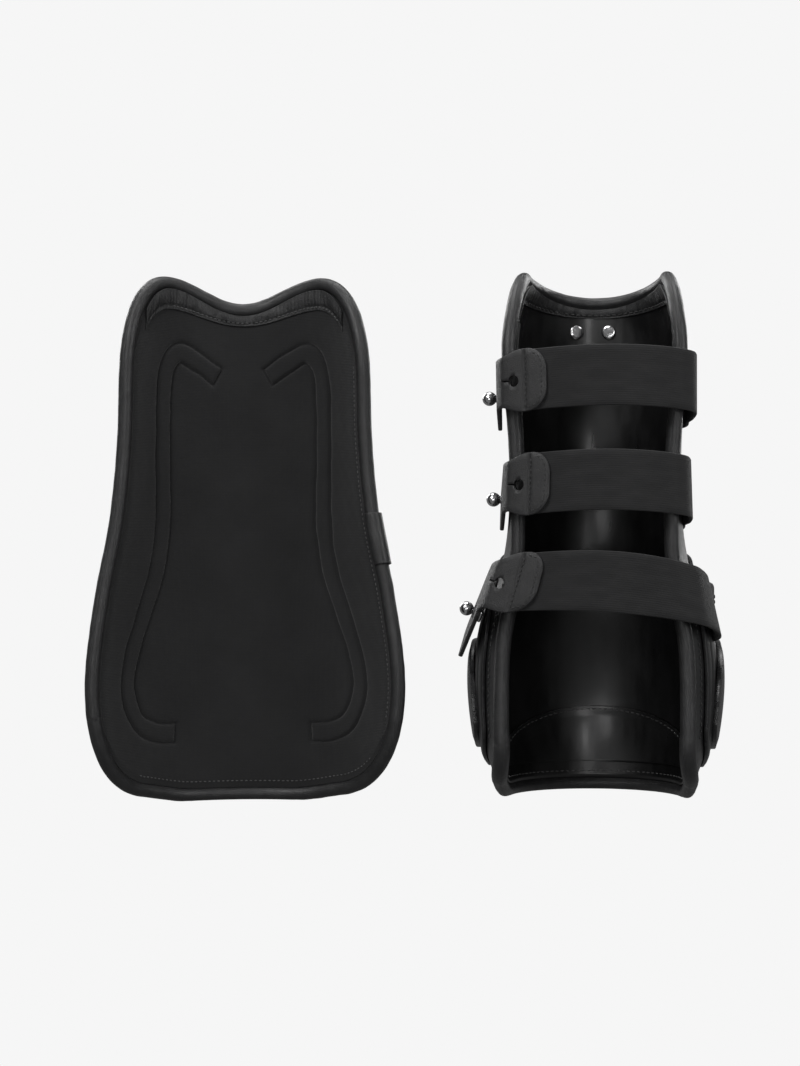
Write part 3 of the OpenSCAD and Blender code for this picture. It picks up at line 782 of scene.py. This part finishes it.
def boot_guards():
    overlay = slab(
        "side_overlay_panel", boot_form, BOOT_PLACE, SHELL_PLASTIC, (-OVERLAY_LIMIT, OVERLAY_LIMIT),
        overlay_bottom, overlay_top, OVERLAY[::-1], (161, 90), overlay_relief, bunch=0.55,
    )
    wear(round_rims(overlay, 0.3), "boot", "moulded_leather", "side_overlay")
    guard = slab(
        "strike_guard_plate", boot_form, BOOT_PLACE, GUARD_PLASTIC, (-GUARD_LIMIT, GUARD_LIMIT),
        guard_bottom, guard_top, GUARD[::-1], (121, 90), guard_relief, bunch=0.3,
    )
    wear(round_rims(guard, 0.9), "boot", "gloss_shell", "strike_guard")


def gathered(seed, depth, pitch=3.2):
    """Puckers of a leather facing drawn in by its stitches, deepest at the lower edge."""

    def relief(s, z, v):
        place = s * 70
        fold = ripple(place, v * 2.5, seed, pitch) * mix(1.0, 0.35, v)
        channel = bell((v - 0.2), 0.09)
        return depth * fold * clip(v * 5) - 0.4 * channel + 0.35 * bell(v - 0.6, 0.35)

    return relief


def collar_reach(s):
    """Width of a collar facing, which widens from the dip towards the two lobes."""
    return mix(4.2, 9.0, ease(clip(np.abs(s) / 0.6)))


def boot_trims():
    collar = slab(
        "collar_facing_leather", boot_form, BOOT_PLACE, FACING_LEATHER, (-COLLAR_LIMIT, COLLAR_LIMIT),
        lambda s: boot_top(s) - collar_reach(s), lambda s: boot_top(s) + 0.4, TRIM, (301, 24),
        gathered(11, 0.3), bunch=0.6,
    )
    wear(round_rims(collar, 0.2), "boot", "moulded_leather", "collar_facing")
    cup = slab(
        "fetlock_cup_film", boot_form, BOOT_PLACE, LINING_GLOSS, (-CUP_LIMIT, CUP_LIMIT),
        lambda s: boot_bottom(s) + 8.5,
        lambda s: boot_bottom(s) + 12.5 + 24 * np.cos(math.pi / 2 * s / CUP_LIMIT),
        CUP, (121, 60), cup_relief,
    )
    wear(round_rims(cup, 0.25), "boot", "gloss_shell", "fetlock_cup_panel")
    for side, label, seed in ((-1, "left", 21), (1, "right", 22)):
        near, far = sorted((side * TAPE_NEAR, side * COLLAR_LIMIT))
        tape = slab(
            "loop_tape_" + label + "_pile", boot_form, BOOT_PLACE, LOOP, (near, far),
            lambda s: 34 + 0 * s,
            lambda s: 236 - corner((np.abs(s) - TAPE_NEAR) / TAPE_SPAN, 0.2, 26),
            TRIM, (22, 200),
            lambda s, z, v, seed=seed: 0.1 + 0.22 * ripple(s * 90, z, seed, 5),
        )
        wear(round_rims(tape, 0.2), "boot", "liner_cloth", "loop_tape_" + label)


def cup_relief(s, z, v):
    crown = 0.5 * ease(clip((1 - v) * 5)) * clip((CUP_LIMIT - np.abs(s)) * 10)
    return crown + 0.08 * ripple(s * 60, z, 31, 16)


def boot_stitching():
    s = np.linspace(-0.5, 0.5, 120)
    z = boot_top(s) - collar_reach(s) + 1.4
    place = boot_form(s, z, TRIM[1] + 0.1)
    inward = place - boot_form(s, z, 0)
    row = stitches("collar_stitches", place, inward, DARK_THREAD, BOOT_PLACE, 3.1, 2.3, 0.36)
    wear(row, "boot", "liner_cloth")
    s = np.linspace(-0.55, 0.55, 160)
    z = boot_bottom(s) + 12.5 + 24 * np.cos(math.pi / 2 * s / CUP_LIMIT) - 1.6
    place = boot_form(s, z, CUP[1] + 0.25)
    row = stitches("cup_stitches", place, place - boot_form(s, z, 0), GREY_THREAD, BOOT_PLACE, 2.9, 1.9, 0.28)
    wear(row, "boot", "liner_cloth")
    s = np.linspace(-0.86, 0.86, 260)
    z = boot_bottom(s) + 3.2
    place = boot_form(s, z, LINING[1])
    inward = place - boot_form(s, z, 0)
    row = stitches("sole_stitches", place, inward, GREY_THREAD, BOOT_PLACE, 2.9, 1.8, 0.26)
    wear(row, "boot", "liner_cloth")
    for side, label in ((-1, "left"), (1, "right")):
        z = np.linspace(32, 112, 80)
        place = boot_form(side * 0.955 + 0 * z, z, -0.05)
        out = place - boot_form(side * 0.955 + 0 * z, z, 2)
        row = stitches("front_stitches_" + label, place, out, DARK_THREAD, BOOT_PLACE, 3.2, 2.2, 0.3)
        wear(row, "boot", "liner_cloth")


def badge_relief(s, z, v):
    """A blank sunk panel inside a narrow border."""
    return -0.3 * ease(clip((np.minimum(v, 1 - v) - 0.08) * 12)) * ease(clip((0.235 - np.abs(s)) * 60))


def boot_metal():
    for label, strap in STRAPS.items():
        seat = -STUD_SEATS[label][0]
        ball = [
            (BALL_RADIUS * math.cos(a), BALL_HEIGHT + BALL_RADIUS * math.sin(a))
            for a in np.radians(np.linspace(-57, 88, 22))
        ]
        flange = [(4.2, seat), (4.6, seat + 0.25), (4.6, -0.9), (4.3, -0.5)]
        neck = [(2.6, -0.4), (2.0, 0.1), (1.9, 1.2), (1.9, 2.4)]
        stud = lathe("stud_" + label + "_turned", flange + neck + ball, stud_frame(strap), METAL, BOOT_PLACE)
        wear(stud, "boot", "bright_metal", "stud_" + label)
    points = []
    for label, strap in STRAPS.items():
        depth = STUD_SEATS[label][1]
        points.append((stud_frame(strap), [
            (0.8, 1.9), (1.15, 1.6), (1.15, -depth), (3.4, -depth), (3.8, -depth - 0.2), (3.6, -depth - 0.7),
            (2.2, -depth - 1), (0.6, -depth - 1), (0.5, -depth - 0.7),
        ]))
    screws = [lathe("stud_screw", profile, m, METAL, BOOT_PLACE) for m, profile in points]
    wear(joined("stud_screws_turned", screws), "boot", "bright_metal", "stud_screws")
    rivets = []
    for share in RIVET_SHARES:
        here = boot_form(share, RIVET_HEIGHT, 0)
        out = here - boot_form(share, RIVET_HEIGHT, 1)
        m = moved(*here) @ turned(2, -math.degrees(math.atan2(out[0], out[1]))) @ turned(0, -90)
        inside = -LINING[1] - 0.39
        profile = [
            (0.4, 2.5), (1.6, 2.45), (2.5, 2.05), (2.7, 1.6), (1.4, 1.56), (1.4, inside), (3.55, inside),
            (3.65, inside - 0.25), (3.5, inside - 0.75), (3.1, inside - 0.98), (2.5, inside - 1.06),
            (1.0, inside - 1.12), (0.3, inside - 1.13),
        ]
        rivets.append(lathe("badge_rivet", profile, m, METAL, BOOT_PLACE))
    wear(joined("badge_rivets_turned", rivets), "boot", "bright_metal", "badge_rivets")
    plate = slab(
        "badge_plate_blank", boot_form, BOOT_PLACE, GUARD_PLASTIC, (-BADGE_LIMIT, BADGE_LIMIT),
        lambda s: 227 + 2.5 * clip((np.abs(s) - 0.2) / 0.0625) ** 2,
        lambda s: 243 - 2.5 * clip((np.abs(s) - 0.2) / 0.0625) ** 2,
        (-0.3, -1.5), (60, 24),
        badge_relief,
    )
    wear(round_rims(plate, 0.3), "boot", "gloss_shell", "badge_plate")


def joined(name, objects):
    """Several objects as one, through their mesh data."""
    work = bmesh.new()
    for obj in objects:
        work.from_mesh(obj.data)
    mesh = bpy.data.meshes.new(name)
    work.to_mesh(mesh)
    work.free()
    mesh.materials.append(objects[0].data.materials[0])
    mesh.polygons.foreach_set("use_smooth", [True] * len(mesh.polygons))
    for obj in objects:
        bpy.data.objects.remove(obj)
    whole = bpy.data.objects.new(name, mesh)
    bpy.context.scene.collection.objects.link(whole)
    return whole


# ---------- straps ----------

def strap_point(strap, d):
    turn = clip((d - STRAP_TURN) / (STRAP_LENGTH - STRAP_TURN))
    fold = strap[0]
    return np.array([
        mix(fold[0], strap[8], curve(STRAP_LINE, d, 1)) + (strap[9] - strap[8]) * ease(turn)
        + STRAP_BULGE * np.sin(math.pi * turn),
        fold[1] + curve(STRAP_LINE, d, 2),
        mix(fold[2], strap[6], clip(d / STRAP_LENGTH) ** STRAP_DROOP)
        + STRAP_ARCH * math.sin(math.pi * d / STRAP_LENGTH),
    ])


def strap_frame(strap, d):
    """Point on the inner face, outward direction and direction across the strap."""
    run = strap_point(strap, d + 0.5) - strap_point(strap, d - 0.5)
    lean = math.radians(mix(strap[2], -strap[7], ease(clip(d / STRAP_LENGTH))))
    up = np.array([math.sin(lean), 0, math.cos(lean)])
    out = unit(np.array([run[1], -run[0], 0]))
    return strap_point(strap, d), unit(out - up * (out @ up)), up


def world(point):
    return tuple(placed(np.array(point, float), BOOT_PLACE) * MM)


def elastic(label, strap):
    """The whole band: sewn down on the right flank, then free round to the leather patch."""
    middles, outs, ups = [], [], []
    for s in np.linspace(ANCHOR_BACK[label], ANCHOR_FRONT, 24):
        z = strap[6] - (ANCHOR_FRONT - s) * ANCHOR_FALL[label]
        inner = boot_form(s, z, -ANCHOR_LIFT[label])
        out = unit(boot_form(s, z, -ANCHOR_LIFT[label] - 1) - inner)
        run = unit(boot_form(s - 0.01, z, 0) - boot_form(s + 0.01, z, 0))
        up = unit(np.cross(out, run))
        ups.append(up if up[2] > 0 else -up)
        middles.append(inner)
        outs.append(out)
    for d in np.linspace(STRAP_LENGTH - 1.5, ELASTIC_START, 110):
        inner, out, up = strap_frame(strap, d)
        middles.append(inner)
        outs.append(out)
        ups.append(up)
    middles, outs, ups = (np.array(v) for v in (middles, outs, ups))
    join = slice(18, 34)
    for _ in range(6):
        for values in (middles, outs, ups):
            soft = (values[:-2] + 2 * values[1:-1] + values[2:]) / 4
            values[join] = soft[join.start - 1:join.stop - 1]
    outs, ups = unit(outs), unit(ups)
    stations = []
    for k in range(len(middles)):
        wall = ELASTIC_WALL / 2
        fade = 1.0 if k > 3 else 0.75 + 0.0625 * k
        stations.append((middles[k] + outs[k] * wall, outs[k], ups[k], ELASTIC_WIDTH / 2, wall * fade, None))
    band = ribbon("elastic_" + label + "_web", stations, ELASTIC, BOOT_PLACE)
    start = boot_form(ANCHOR_FRONT - 0.01, strap[6], 0)
    finish = strap_point(strap, STRAP_LENGTH - 7)
    start[2] = finish[2]
    world(start)
    world(finish)
    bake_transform(band)
    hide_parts("elastic_" + label, "strap_anchor_" + label)
    rows = []
    for k in (2, 6):
        half = ELASTIC_WIDTH / 2 - 2
        base = middles[k] + outs[k] * (ELASTIC_WALL + 0.02)
        line = [base + ups[k] * t for t in np.linspace(-half, half, 20)]
        rows.append(stitches("anchor_row", line, [outs[k]] * 20, DARK_THREAD, BOOT_PLACE, 2.6, 1.9, 0.3))
    wear(joined("anchor_stitches_" + label, rows), "boot", "liner_cloth")


PATCH_LIFT = ELASTIC_WALL + GAP + LEATHER_WALL / 2
SEAM_INSET = 11.5


def leather_centre(strap, u):
    """Middle of the leather at u: on the patch below 0, and on the tab above 0. With outward and across."""
    patch_from, tab_from = -5.0, 3.0

    def on_patch(u):
        inner, out, up = strap_frame(strap, -u)
        return inner + out * PATCH_LIFT, out, up

    def on_tab(u):
        m = tab_frame(strap)
        droop = math.radians(strap[3])
        turn = droop * ease(clip(u / 14))
        local = np.array([-LEATHER_WALL / 2, u * math.cos(droop), -u * math.sin(droop)])
        across = np.array([0, math.sin(turn), math.cos(turn)])
        return (m @ [*local, 1])[:3], m[:3, :3] @ [-1, 0, 0], m[:3, :3] @ across

    if u <= patch_from:
        return on_patch(u)
    if u >= tab_from:
        return on_tab(u)
    t = (u - patch_from) / (tab_from - patch_from)
    a, b = on_patch(patch_from), on_tab(tab_from)
    go_a = on_patch(patch_from)[0] - on_patch(patch_from - 1)[0]
    go_b = on_tab(tab_from + 1)[0] - on_tab(tab_from)[0]
    reach = 5.2
    middle = (
        (2 * t**3 - 3 * t**2 + 1) * a[0] + (t**3 - 2 * t**2 + t) * reach * go_a
        + (3 * t**2 - 2 * t**3) * b[0] + (t**3 - t**2) * reach * go_b
    )
    up = unit(mix(a[2], b[2], ease(t)))
    run = (
        (6 * t**2 - 6 * t) * a[0] + (3 * t**2 - 4 * t + 1) * reach * go_a
        + (6 * t - 6 * t**2) * b[0] + (3 * t**2 - 2 * t) * reach * go_b
    )
    out = np.cross(unit(run), up)
    out = out if out @ (a[1] + b[1]) > 0 else -out
    return middle, unit(out), up


def leather_half(strap, u):
    """Half width of the leather at u."""
    if u < 0:
        d = -u
        t = clip((d - strap[10] + 10) / 10)
        full = mix(TAB_WIDTH, ELASTIC_WIDTH + 1, ease(clip((d - PATCH_START) / 12)))
        return full / 2 * mix(0.3, 1, math.sqrt(max(0, 1 - t * t)))
    straight = strap[4] - TIP_RADIUS
    if u < straight:
        return mix(TAB_WIDTH / 2, TIP_RADIUS, u / straight)
    return math.sqrt(max(0.02, TIP_RADIUS**2 - (u - straight) ** 2))


def patch_relief(strap, u):
    """A cushioned D, a pressed seam across the leather and a stitch channel inside its edge."""
    d = -u
    seam = strap[10] - SEAM_INSET
    if d < seam - 3:
        return None

    def lift(share):
        inside = ease(clip((d - seam - 0.6) / 2.5)) * clip((1 - abs(share)) * 4) * clip((strap[10] - d) / 3)
        return 0.5 * inside - 0.7 * bell(d - seam, 0.6)

    return lift


def leather_tab(label, strap):
    """One strip of leather: a D-shaped patch over the elastic, the fold, and the tab with its keyhole."""
    tip = strap[4]
    turn = np.linspace(0, math.pi / 2, 16)
    front = -strap[10] + 10 * (1 - np.cos(turn))
    middle_part = np.linspace(front[-1] + 0.6, tip - TIP_RADIUS, 78)
    back = tip - TIP_RADIUS + TIP_RADIUS * np.sin(turn[1:])
    stations = []
    for u in np.concatenate([front, middle_part, back]):
        centre, out, up = leather_centre(strap, u)
        thin = mix(1.0, 0.55, ease(clip((u - tip + 3) / 3)))
        thin = thin * mix(0.6, 1.0, ease(clip((u + strap[10]) / 1.2)))
        wall = LEATHER_WALL / 2 * thin
        stations.append((centre, out, up, leather_half(strap, u), wall, patch_relief(strap, u)))
    strip = ribbon("leather_" + label + "_tab", stations, TAB_LEATHER, BOOT_PLACE)
    for cutter in tab_cutters(strap):
        cut(strip, cutter)
    a = strap_frame(strap, 6)[0] + strap_frame(strap, 6)[1] * PATCH_LIFT
    b = leather_centre(strap, 5)[0]
    b = np.array([b[0], b[1], a[2]])
    world(a)
    world(b)
    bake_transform(strip)
    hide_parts("tab_patch_" + label, "tab_" + label)
    seams(label, strap)


def prism(name, outline_points, matrix, low, high):
    count = len(outline_points)
    points = [(matrix @ [x, y, h, 1])[:3] for h in (low, high) for x, y in outline_points]
    faces = [(i, (i + 1) % count, count + (i + 1) % count, count + i) for i in range(count)]
    faces += [tuple(range(count - 1, -1, -1)), tuple(count + i for i in range(count))]
    return build(name, np.array(points), faces, TAB_LEATHER, BOOT_PLACE)


def slot_shape(radius, reach, direction):
    turn = math.radians(direction)
    shape = []
    for i in range(32):
        a = i * 2 * math.pi / 32
        shift = reach if math.cos(a) > 0 else 0
        x, y = radius * math.cos(a) + shift, radius * math.sin(a)
        shape.append((x * math.cos(turn) - y * math.sin(turn), x * math.sin(turn) + y * math.cos(turn)))
    return shape


def tab_cutters(strap):
    """The keyhole the ball passes, and the spare hole with its short slit near the fold."""
    m = stud_frame(strap)
    # in the stud's frame the second axis runs along the tab towards its tip
    yield prism("keyhole", slot_shape(4.1, 5, 90), m, -3, 6)
    middle, out, up = strap_frame(strap, strap[11])
    side = np.cross(up, out)
    m = np.eye(4)
    m[:3, 0], m[:3, 1], m[:3, 2], m[:3, 3] = side, up, out, middle
    yield prism("spare_hole", slot_shape(2.7, 0, 0), m, 1, 8)
    slit = [(0, -0.35), (6.0, -0.35), (6.2, 0), (6.0, 0.35), (0, 0.35)]
    toward = -1 if (side @ (leather_centre(strap, -2)[0] - middle)) < 0 else 1
    if toward < 0:
        slit = [(-x, -y) for x, y in slit]
    yield prism("spare_slit", slit, m, 1, 8)


def cut(obj, cutter):
    change = obj.modifiers.new("cut", "BOOLEAN")
    change.operation = "DIFFERENCE"
    change.solver = "EXACT"
    change.object = cutter
    graph = bpy.context.evaluated_depsgraph_get()
    mesh = bpy.data.meshes.new_from_object(obj.evaluated_get(graph))
    obj.modifiers.clear()
    obj.data = mesh
    bpy.data.objects.remove(cutter)


def seams(label, strap):
    """Stitches across the leather at the seam and round the D, just inside its edge."""
    line, ups = [], []
    seam = strap[10] - SEAM_INSET
    for t in np.linspace(-0.86, 0.86, 30):
        centre, out, up = leather_centre(strap, -seam - 1.1)
        line.append(centre + out * (LEATHER_WALL / 2 + 0.2) + up * (t * leather_half(strap, -seam - 1.1)))
        ups.append(out)
    rows = [stitches("seam_row", line, ups, DARK_THREAD, BOOT_PLACE, 2.5, 1.8, 0.27)]
    line, ups = [], []
    turn = np.linspace(-1, 1, 60)
    for t in turn:
        reach = strap[10] - 2.2 - (strap[10] - 2.2 - seam - 1.6) * abs(t) ** 3.2
        centre, out, up = leather_centre(strap, -reach)
        half = (ELASTIC_WIDTH + 1) / 2 - 2.0
        line.append(centre + out * (LEATHER_WALL / 2 + 0.3) + up * (half * math.sin(t * math.pi / 2)))
        ups.append(out)
    rows.append(stitches("round_row", line, ups, DARK_THREAD, BOOT_PLACE, 2.5, 1.8, 0.27))
    wear(joined("patch_stitches_" + label, rows), "strap_" + label + "_body", "liner_cloth")


# ---------- liner ----------

def tape_distance(s, z):
    """Distance from the two C-shaped tapes' middle lines, and from their sewn outline."""
    here = liner_form(s, z, 0)
    across = np.full(s.shape, 99.0)
    groove = np.full(s.shape, 99.0)
    for side, seed in ((-1, 41), (1, 42)):
        t = np.linspace(0, 12, 400)
        line = liner_form(side * curve(TAPE_LINE, t, 1), curve(TAPE_LINE, t, 2), 0)
        steps = np.concatenate([[0], np.cumsum(np.linalg.norm(np.diff(line, axis=0), axis=-1))])
        flat = here.reshape(-1, 3)
        best = np.full(len(flat), 1e9)
        index = np.zeros(len(flat), int)
        for k in range(0, len(line), 1):
            gap = np.sum((flat - line[k]) ** 2, -1)
            closer = gap < best
            best[closer] = gap[closer]
            index[closer] = k
        d = np.sqrt(best)
        half = TAPE_WIDTH / 2 + 0.3 * ripple(steps[index], d * 0, seed, 14)
        ends = np.minimum(steps[index], steps[-1] - steps[index])
        run = unit(np.gradient(line, axis=0))
        offset = flat - line[index]
        past = np.abs(np.sum(offset * run[index], -1))
        side_way = np.sqrt(np.maximum(0, d * d - past * past))
        beyond = (index == 0) | (index == len(line) - 1)
        rim = np.where(
            beyond,
            np.sqrt(np.maximum(0, side_way - half) ** 2 + past**2),
            np.minimum(np.abs(d - half), np.where(d < half, ends, 99)),
        )
        inside = np.where(beyond, 99, d)
        across = np.minimum(across, inside.reshape(s.shape))
        groove = np.minimum(groove, rim.reshape(s.shape))
    return across, groove


def face_relief(s, z, v):
    """Soft padding, pressed lines where the tapes are sewn on behind, and a dip beside the binding."""
    across, groove = tape_distance(s, z)
    half = curve(LINER_SIDE, z) / math.sin(LINER_BEND) * LINER_BEND
    edge = np.minimum((1 - np.abs(s)) * half, np.minimum(z - liner_bottom(s), liner_top(s) - z))
    swell = 0.35 * (1 + ripple(s * 70, z, 51, 60)) * ease(clip(edge / 14))
    strip = 0.25 * ease(clip((TAPE_WIDTH / 2 - across) / 1.5))
    sewn = 1.25 * bell(groove, 0.6) + 0.45 * bell(groove, 1.8)
    dip = 0.75 * bell(edge, 2.6)
    return swell + strip - sewn - dip + 0.05 * ripple(s * 70, z, 52, 7)


def liner():
    fine = (321, 361)
    plain = (121, 121)
    low, high = liner_bottom, liner_top
    backing = slab(
        "liner_backing_loop", liner_form, LINER_PLACE, KNIT, (-1, 1), low, high,
        BACKING[::-1], plain, None, 0.9,
    )
    wear(backing, "liner", "liner_cloth", "liner_backing")
    core = slab(
        "liner_core_pad", liner_form, LINER_PLACE, RUBBER, (-1, 1), low, high,
        (CORE[0], CORE[1] - 0.9), plain, None, 0.9,
    )
    wear(core, "liner", "foam", "liner_core")
    face = slab(
        "liner_face_knit", liner_form, LINER_PLACE, KNIT, (-1, 1), low, high,
        (FACE[0] - 0.8, FACE[1]), fine, face_relief, 0.75,
    )
    wear(face, "liner", "liner_cloth", "liner_face")
    path = outline(low, high, liner_form, FACE[1] / 2, 1.2)

    def relief(angle, path):
        at = path["at"][:, None]
        return 0.08 * ripple(at, angle * 3.5, 55, 8) + 0.06 * ripple(at, angle * 3.5, 56, 26)

    binding = tube("liner_binding_leather", path, BINDING_SIZE / 2, ROLL_LEATHER, LINER_PLACE, 24, relief)
    wear(binding, "liner", "moulded_leather", "liner_binding")
    collar = slab(
        "liner_collar_leather", liner_form, LINER_PLACE, FACING_LEATHER, (-COLLAR_LIMIT, COLLAR_LIMIT),
        lambda s: liner_top(s) - collar_reach(s) - 0.6, lambda s: liner_top(s) + 0.4, LINER_TRIM, (361, 24),
        gathered(61, 0.4, 3.4), 0.6,
    )
    wear(round_rims(collar, 0.2), "liner", "moulded_leather", "liner_collar_facing")
    liner_joint()
    liner_stitching(path)
    liner_tapes()


def liner_joint():
    """The binding's end, lapped over its start and glued down."""
    z = np.linspace(141, 116, 22)
    s = np.ones_like(z)
    middle = liner_form(s, z, FACE[1] / 2)
    out = unit(liner_form(s, z, FACE[1] / 2 - 1) - middle)
    run = unit(np.gradient(middle, axis=0))
    away = np.cross(run, out)
    away = np.where(away[:, :1] > 0, away, -away)
    angles = np.radians(np.linspace(-100, 100, 25))
    outer, inner = [], []
    for k in range(len(z)):
        centre = middle[k] + away[k] * (BINDING_SIZE / 2 + GAP)
        crown = 0.25 * math.sin(math.pi * k / (len(z) - 1))
        for a in angles:
            way = away[k] * math.cos(a) + out[k] * math.sin(a)
            outer.append(centre + way * (BINDING_SIZE / 2 + TRIM_GAP + 0.7 + crown))
            inner.append(centre + way * (BINDING_SIZE / 2 + TRIM_GAP))
    rows, columns = len(z), len(angles)
    count = rows * columns
    faces = grid_faces(rows, columns) + grid_faces(rows, columns, count) + rim_faces(rows, columns)
    uv = [(a * 3.5, h) for h in z for a in angles]
    lap = build("binding_joint_lap", np.array(outer + inner), faces, ROLL_LEATHER, LINER_PLACE, uv + uv)
    wear(round_rims(lap, 0.25), "liner", "moulded_leather", "binding_joint")


def liner_stitching(path):
    """Rows of thread under the collar facing, beside the binding on the right, and along the bottom."""
    s = np.linspace(-0.6, 0.86, 240)
    z = liner_top(s) - collar_reach(s) + 0.9
    place = liner_form(s, z, LINER_TRIM[1] + 0.1)
    inward = place - liner_form(s, z, 0)
    row = stitches("liner_collar_stitches", place, inward, GREY_THREAD, LINER_PLACE, 2.3, 1.5, 0.26)
    wear(row, "liner", "liner_cloth")
    inset = path["middle"] - path["away"] * 1.6 - path["out"] * (FACE[1] / 2 - 0.5)
    right = (path["s"] > 0.9) & (path["middle"][:, 2] > 40) & (path["middle"][:, 2] < 214)
    inward = -path["out"][right]
    row = stitches("liner_side_stitches", inset[right], inward, GREY_THREAD, LINER_PLACE, 2.3, 1.5, 0.24)
    wear(row, "liner", "liner_cloth")
    s = np.linspace(-0.72, 0.9, 240)
    z = liner_bottom(s) + 3.4
    place = liner_form(s, z, FACE[1] - 0.2)
    inward = place - liner_form(s, z, 0)
    row = stitches("liner_sole_stitches", place, inward, GREY_THREAD, LINER_PLACE, 2.3, 1.5, 0.26)
    wear(row, "liner", "liner_cloth")


def liner_tapes():
    for side, label in ((-1, "left"), (1, "right")):
        stations = []
        t = np.linspace(0, 12, 160)
        s, z = side * curve(TAPE_LINE, t, 1), curve(TAPE_LINE, t, 2)
        middle = liner_form(s, z, 0)
        out = unit(liner_form(s, z, -1) - middle)
        run = unit(np.gradient(middle, axis=0))
        across = unit(np.cross(run, out))
        for k in range(len(t)):
            centre = middle[k] + out[k] * (TRIM_GAP + 0.6)
            stations.append((centre, out[k], across[k], TAPE_WIDTH / 2, 0.6, None))
        tape = ribbon("hook_tape_" + label + "_hooks", stations, HOOK, LINER_PLACE)
        wear(tape, "liner", "liner_cloth", "hook_tape_" + label)
        rows = []
        for edge in (-1, 1):
            line = middle + out * (TRIM_GAP + 1.25) + across * (edge * (TAPE_WIDTH / 2 - 1.3))
            rows.append(stitches("tape_row", line, out, DARK_THREAD, LINER_PLACE, 3.0, 2.1, 0.28))
        wear(joined("tape_stitches_" + label, rows), "liner", "liner_cloth")


# ---------- stage ----------

def emission(name, colour, strength, diffuse):
    material = bpy.data.materials.new(name)
    material.use_nodes = True
    shader = next(n for n in material.node_tree.nodes if n.type == "BSDF_PRINCIPLED")
    shader.inputs["Base Color"].default_value = (diffuse, diffuse, diffuse, 1)
    shader.inputs["Roughness"].default_value = 1.0
    shader.inputs["Specular IOR Level"].default_value = 0.0
    shader.inputs["Emission Color"].default_value = (*colour, 1)
    shader.inputs["Emission Strength"].default_value = strength
    return material


PALE = 0.9216


def stage():
    half = 40.0
    mesh = bpy.data.meshes.new("floor")
    corners = [(-half, -half, 0), (half, -half, 0), (half, half, 0), (-half, half, 0)]
    mesh.from_pydata(corners, [], [(0, 1, 2, 3)])
    floor = bpy.data.objects.new("floor", mesh)
    mesh.materials.append(emission("pale_floor", (1, 1, 1), PALE, 0.0))
    bpy.context.scene.collection.objects.link(floor)
    floor.visible_glossy = False
    floor.visible_shadow = False
    floor.visible_diffuse = False
    world_look()
    light("key", (-0.9, -1.3, 1.35), (0.02, 0, 0.12), (0.9, 0.9), 22)
    light("fill_right", (1.25, -0.9, 0.75), (0.05, 0, 0.12), (0.5, 1.2), 9)
    light("strip_front", (0.28, -1.75, 0.34), (0.09, 0, 0.12), (0.1, 0.55), 2.4)
    light("low_left", (-0.33, -1.75, 0.0), (0.09, 0, 0.08), (0.5, 0.3), 2.2)
    light("top", (0.0, 0.2, 1.5), (0, 0, 0.1), (1.1, 0.8), 11)
    light("back_left", (-0.8, 1.2, 0.8), (0, 0, 0.12), (0.6, 1.0), 9)
    light("back_right", (0.9, 1.2, 0.7), (0, 0, 0.12), (0.5, 1.0), 7)


def world_look():
    """Pale to the camera, and a dim grey studio to everything else."""
    world = bpy.data.worlds.new("studio")
    bpy.context.scene.world = world
    world.use_nodes = True
    nodes, links = world.node_tree.nodes, world.node_tree.links
    output = next(n for n in nodes if n.type == "OUTPUT_WORLD")
    pale = next(n for n in nodes if n.type == "BACKGROUND")
    pale.inputs["Color"].default_value = (1, 1, 1, 1)
    pale.inputs["Strength"].default_value = PALE
    dim = nodes.new("ShaderNodeBackground")
    dim.inputs["Color"].default_value = (1, 1, 1, 1)
    dim.inputs["Strength"].default_value = 0.16
    ray = nodes.new("ShaderNodeLightPath")
    blend = nodes.new("ShaderNodeMixShader")
    links.new(ray.outputs["Is Camera Ray"], blend.inputs[0])
    links.new(dim.outputs["Background"], blend.inputs[1])
    links.new(pale.outputs["Background"], blend.inputs[2])
    links.new(blend.outputs["Shader"], output.inputs["Surface"])


def light(name, location, target, size, power):
    data = bpy.data.lights.new(name, "AREA")
    data.shape = "RECTANGLE"
    data.size, data.size_y = size
    data.energy = power
    lamp = bpy.data.objects.new(name, data)
    bpy.context.scene.collection.objects.link(lamp)
    lamp.location = location
    lamp.rotation_mode = "QUATERNION"
    lamp.rotation_quaternion = (Vector(target) - Vector(location)).to_track_quat("-Z", "Y")
    lamp.visible_camera = False


def camera():
    data = bpy.data.cameras.new("camera")
    data.lens = 80.24
    data.sensor_width = 36
    cam = bpy.data.objects.new("camera", data)
    bpy.context.scene.collection.objects.link(cam)
    cam.location = (-0.0055, -1.181, 0.132)
    cam.rotation_euler = (math.pi / 2, 0, 0)
    data.clip_start, data.clip_end = 0.05, 100
    bpy.context.scene.camera = cam


bpy.context.scene.view_settings.view_transform = "Standard"
camera()
stage()
boot_layers()
boot_roll()
boot_guards()
boot_trims()
boot_stitching()
boot_metal()
for label, strap in STRAPS.items():
    elastic(label, strap)
    leather_tab(label, strap)
liner()
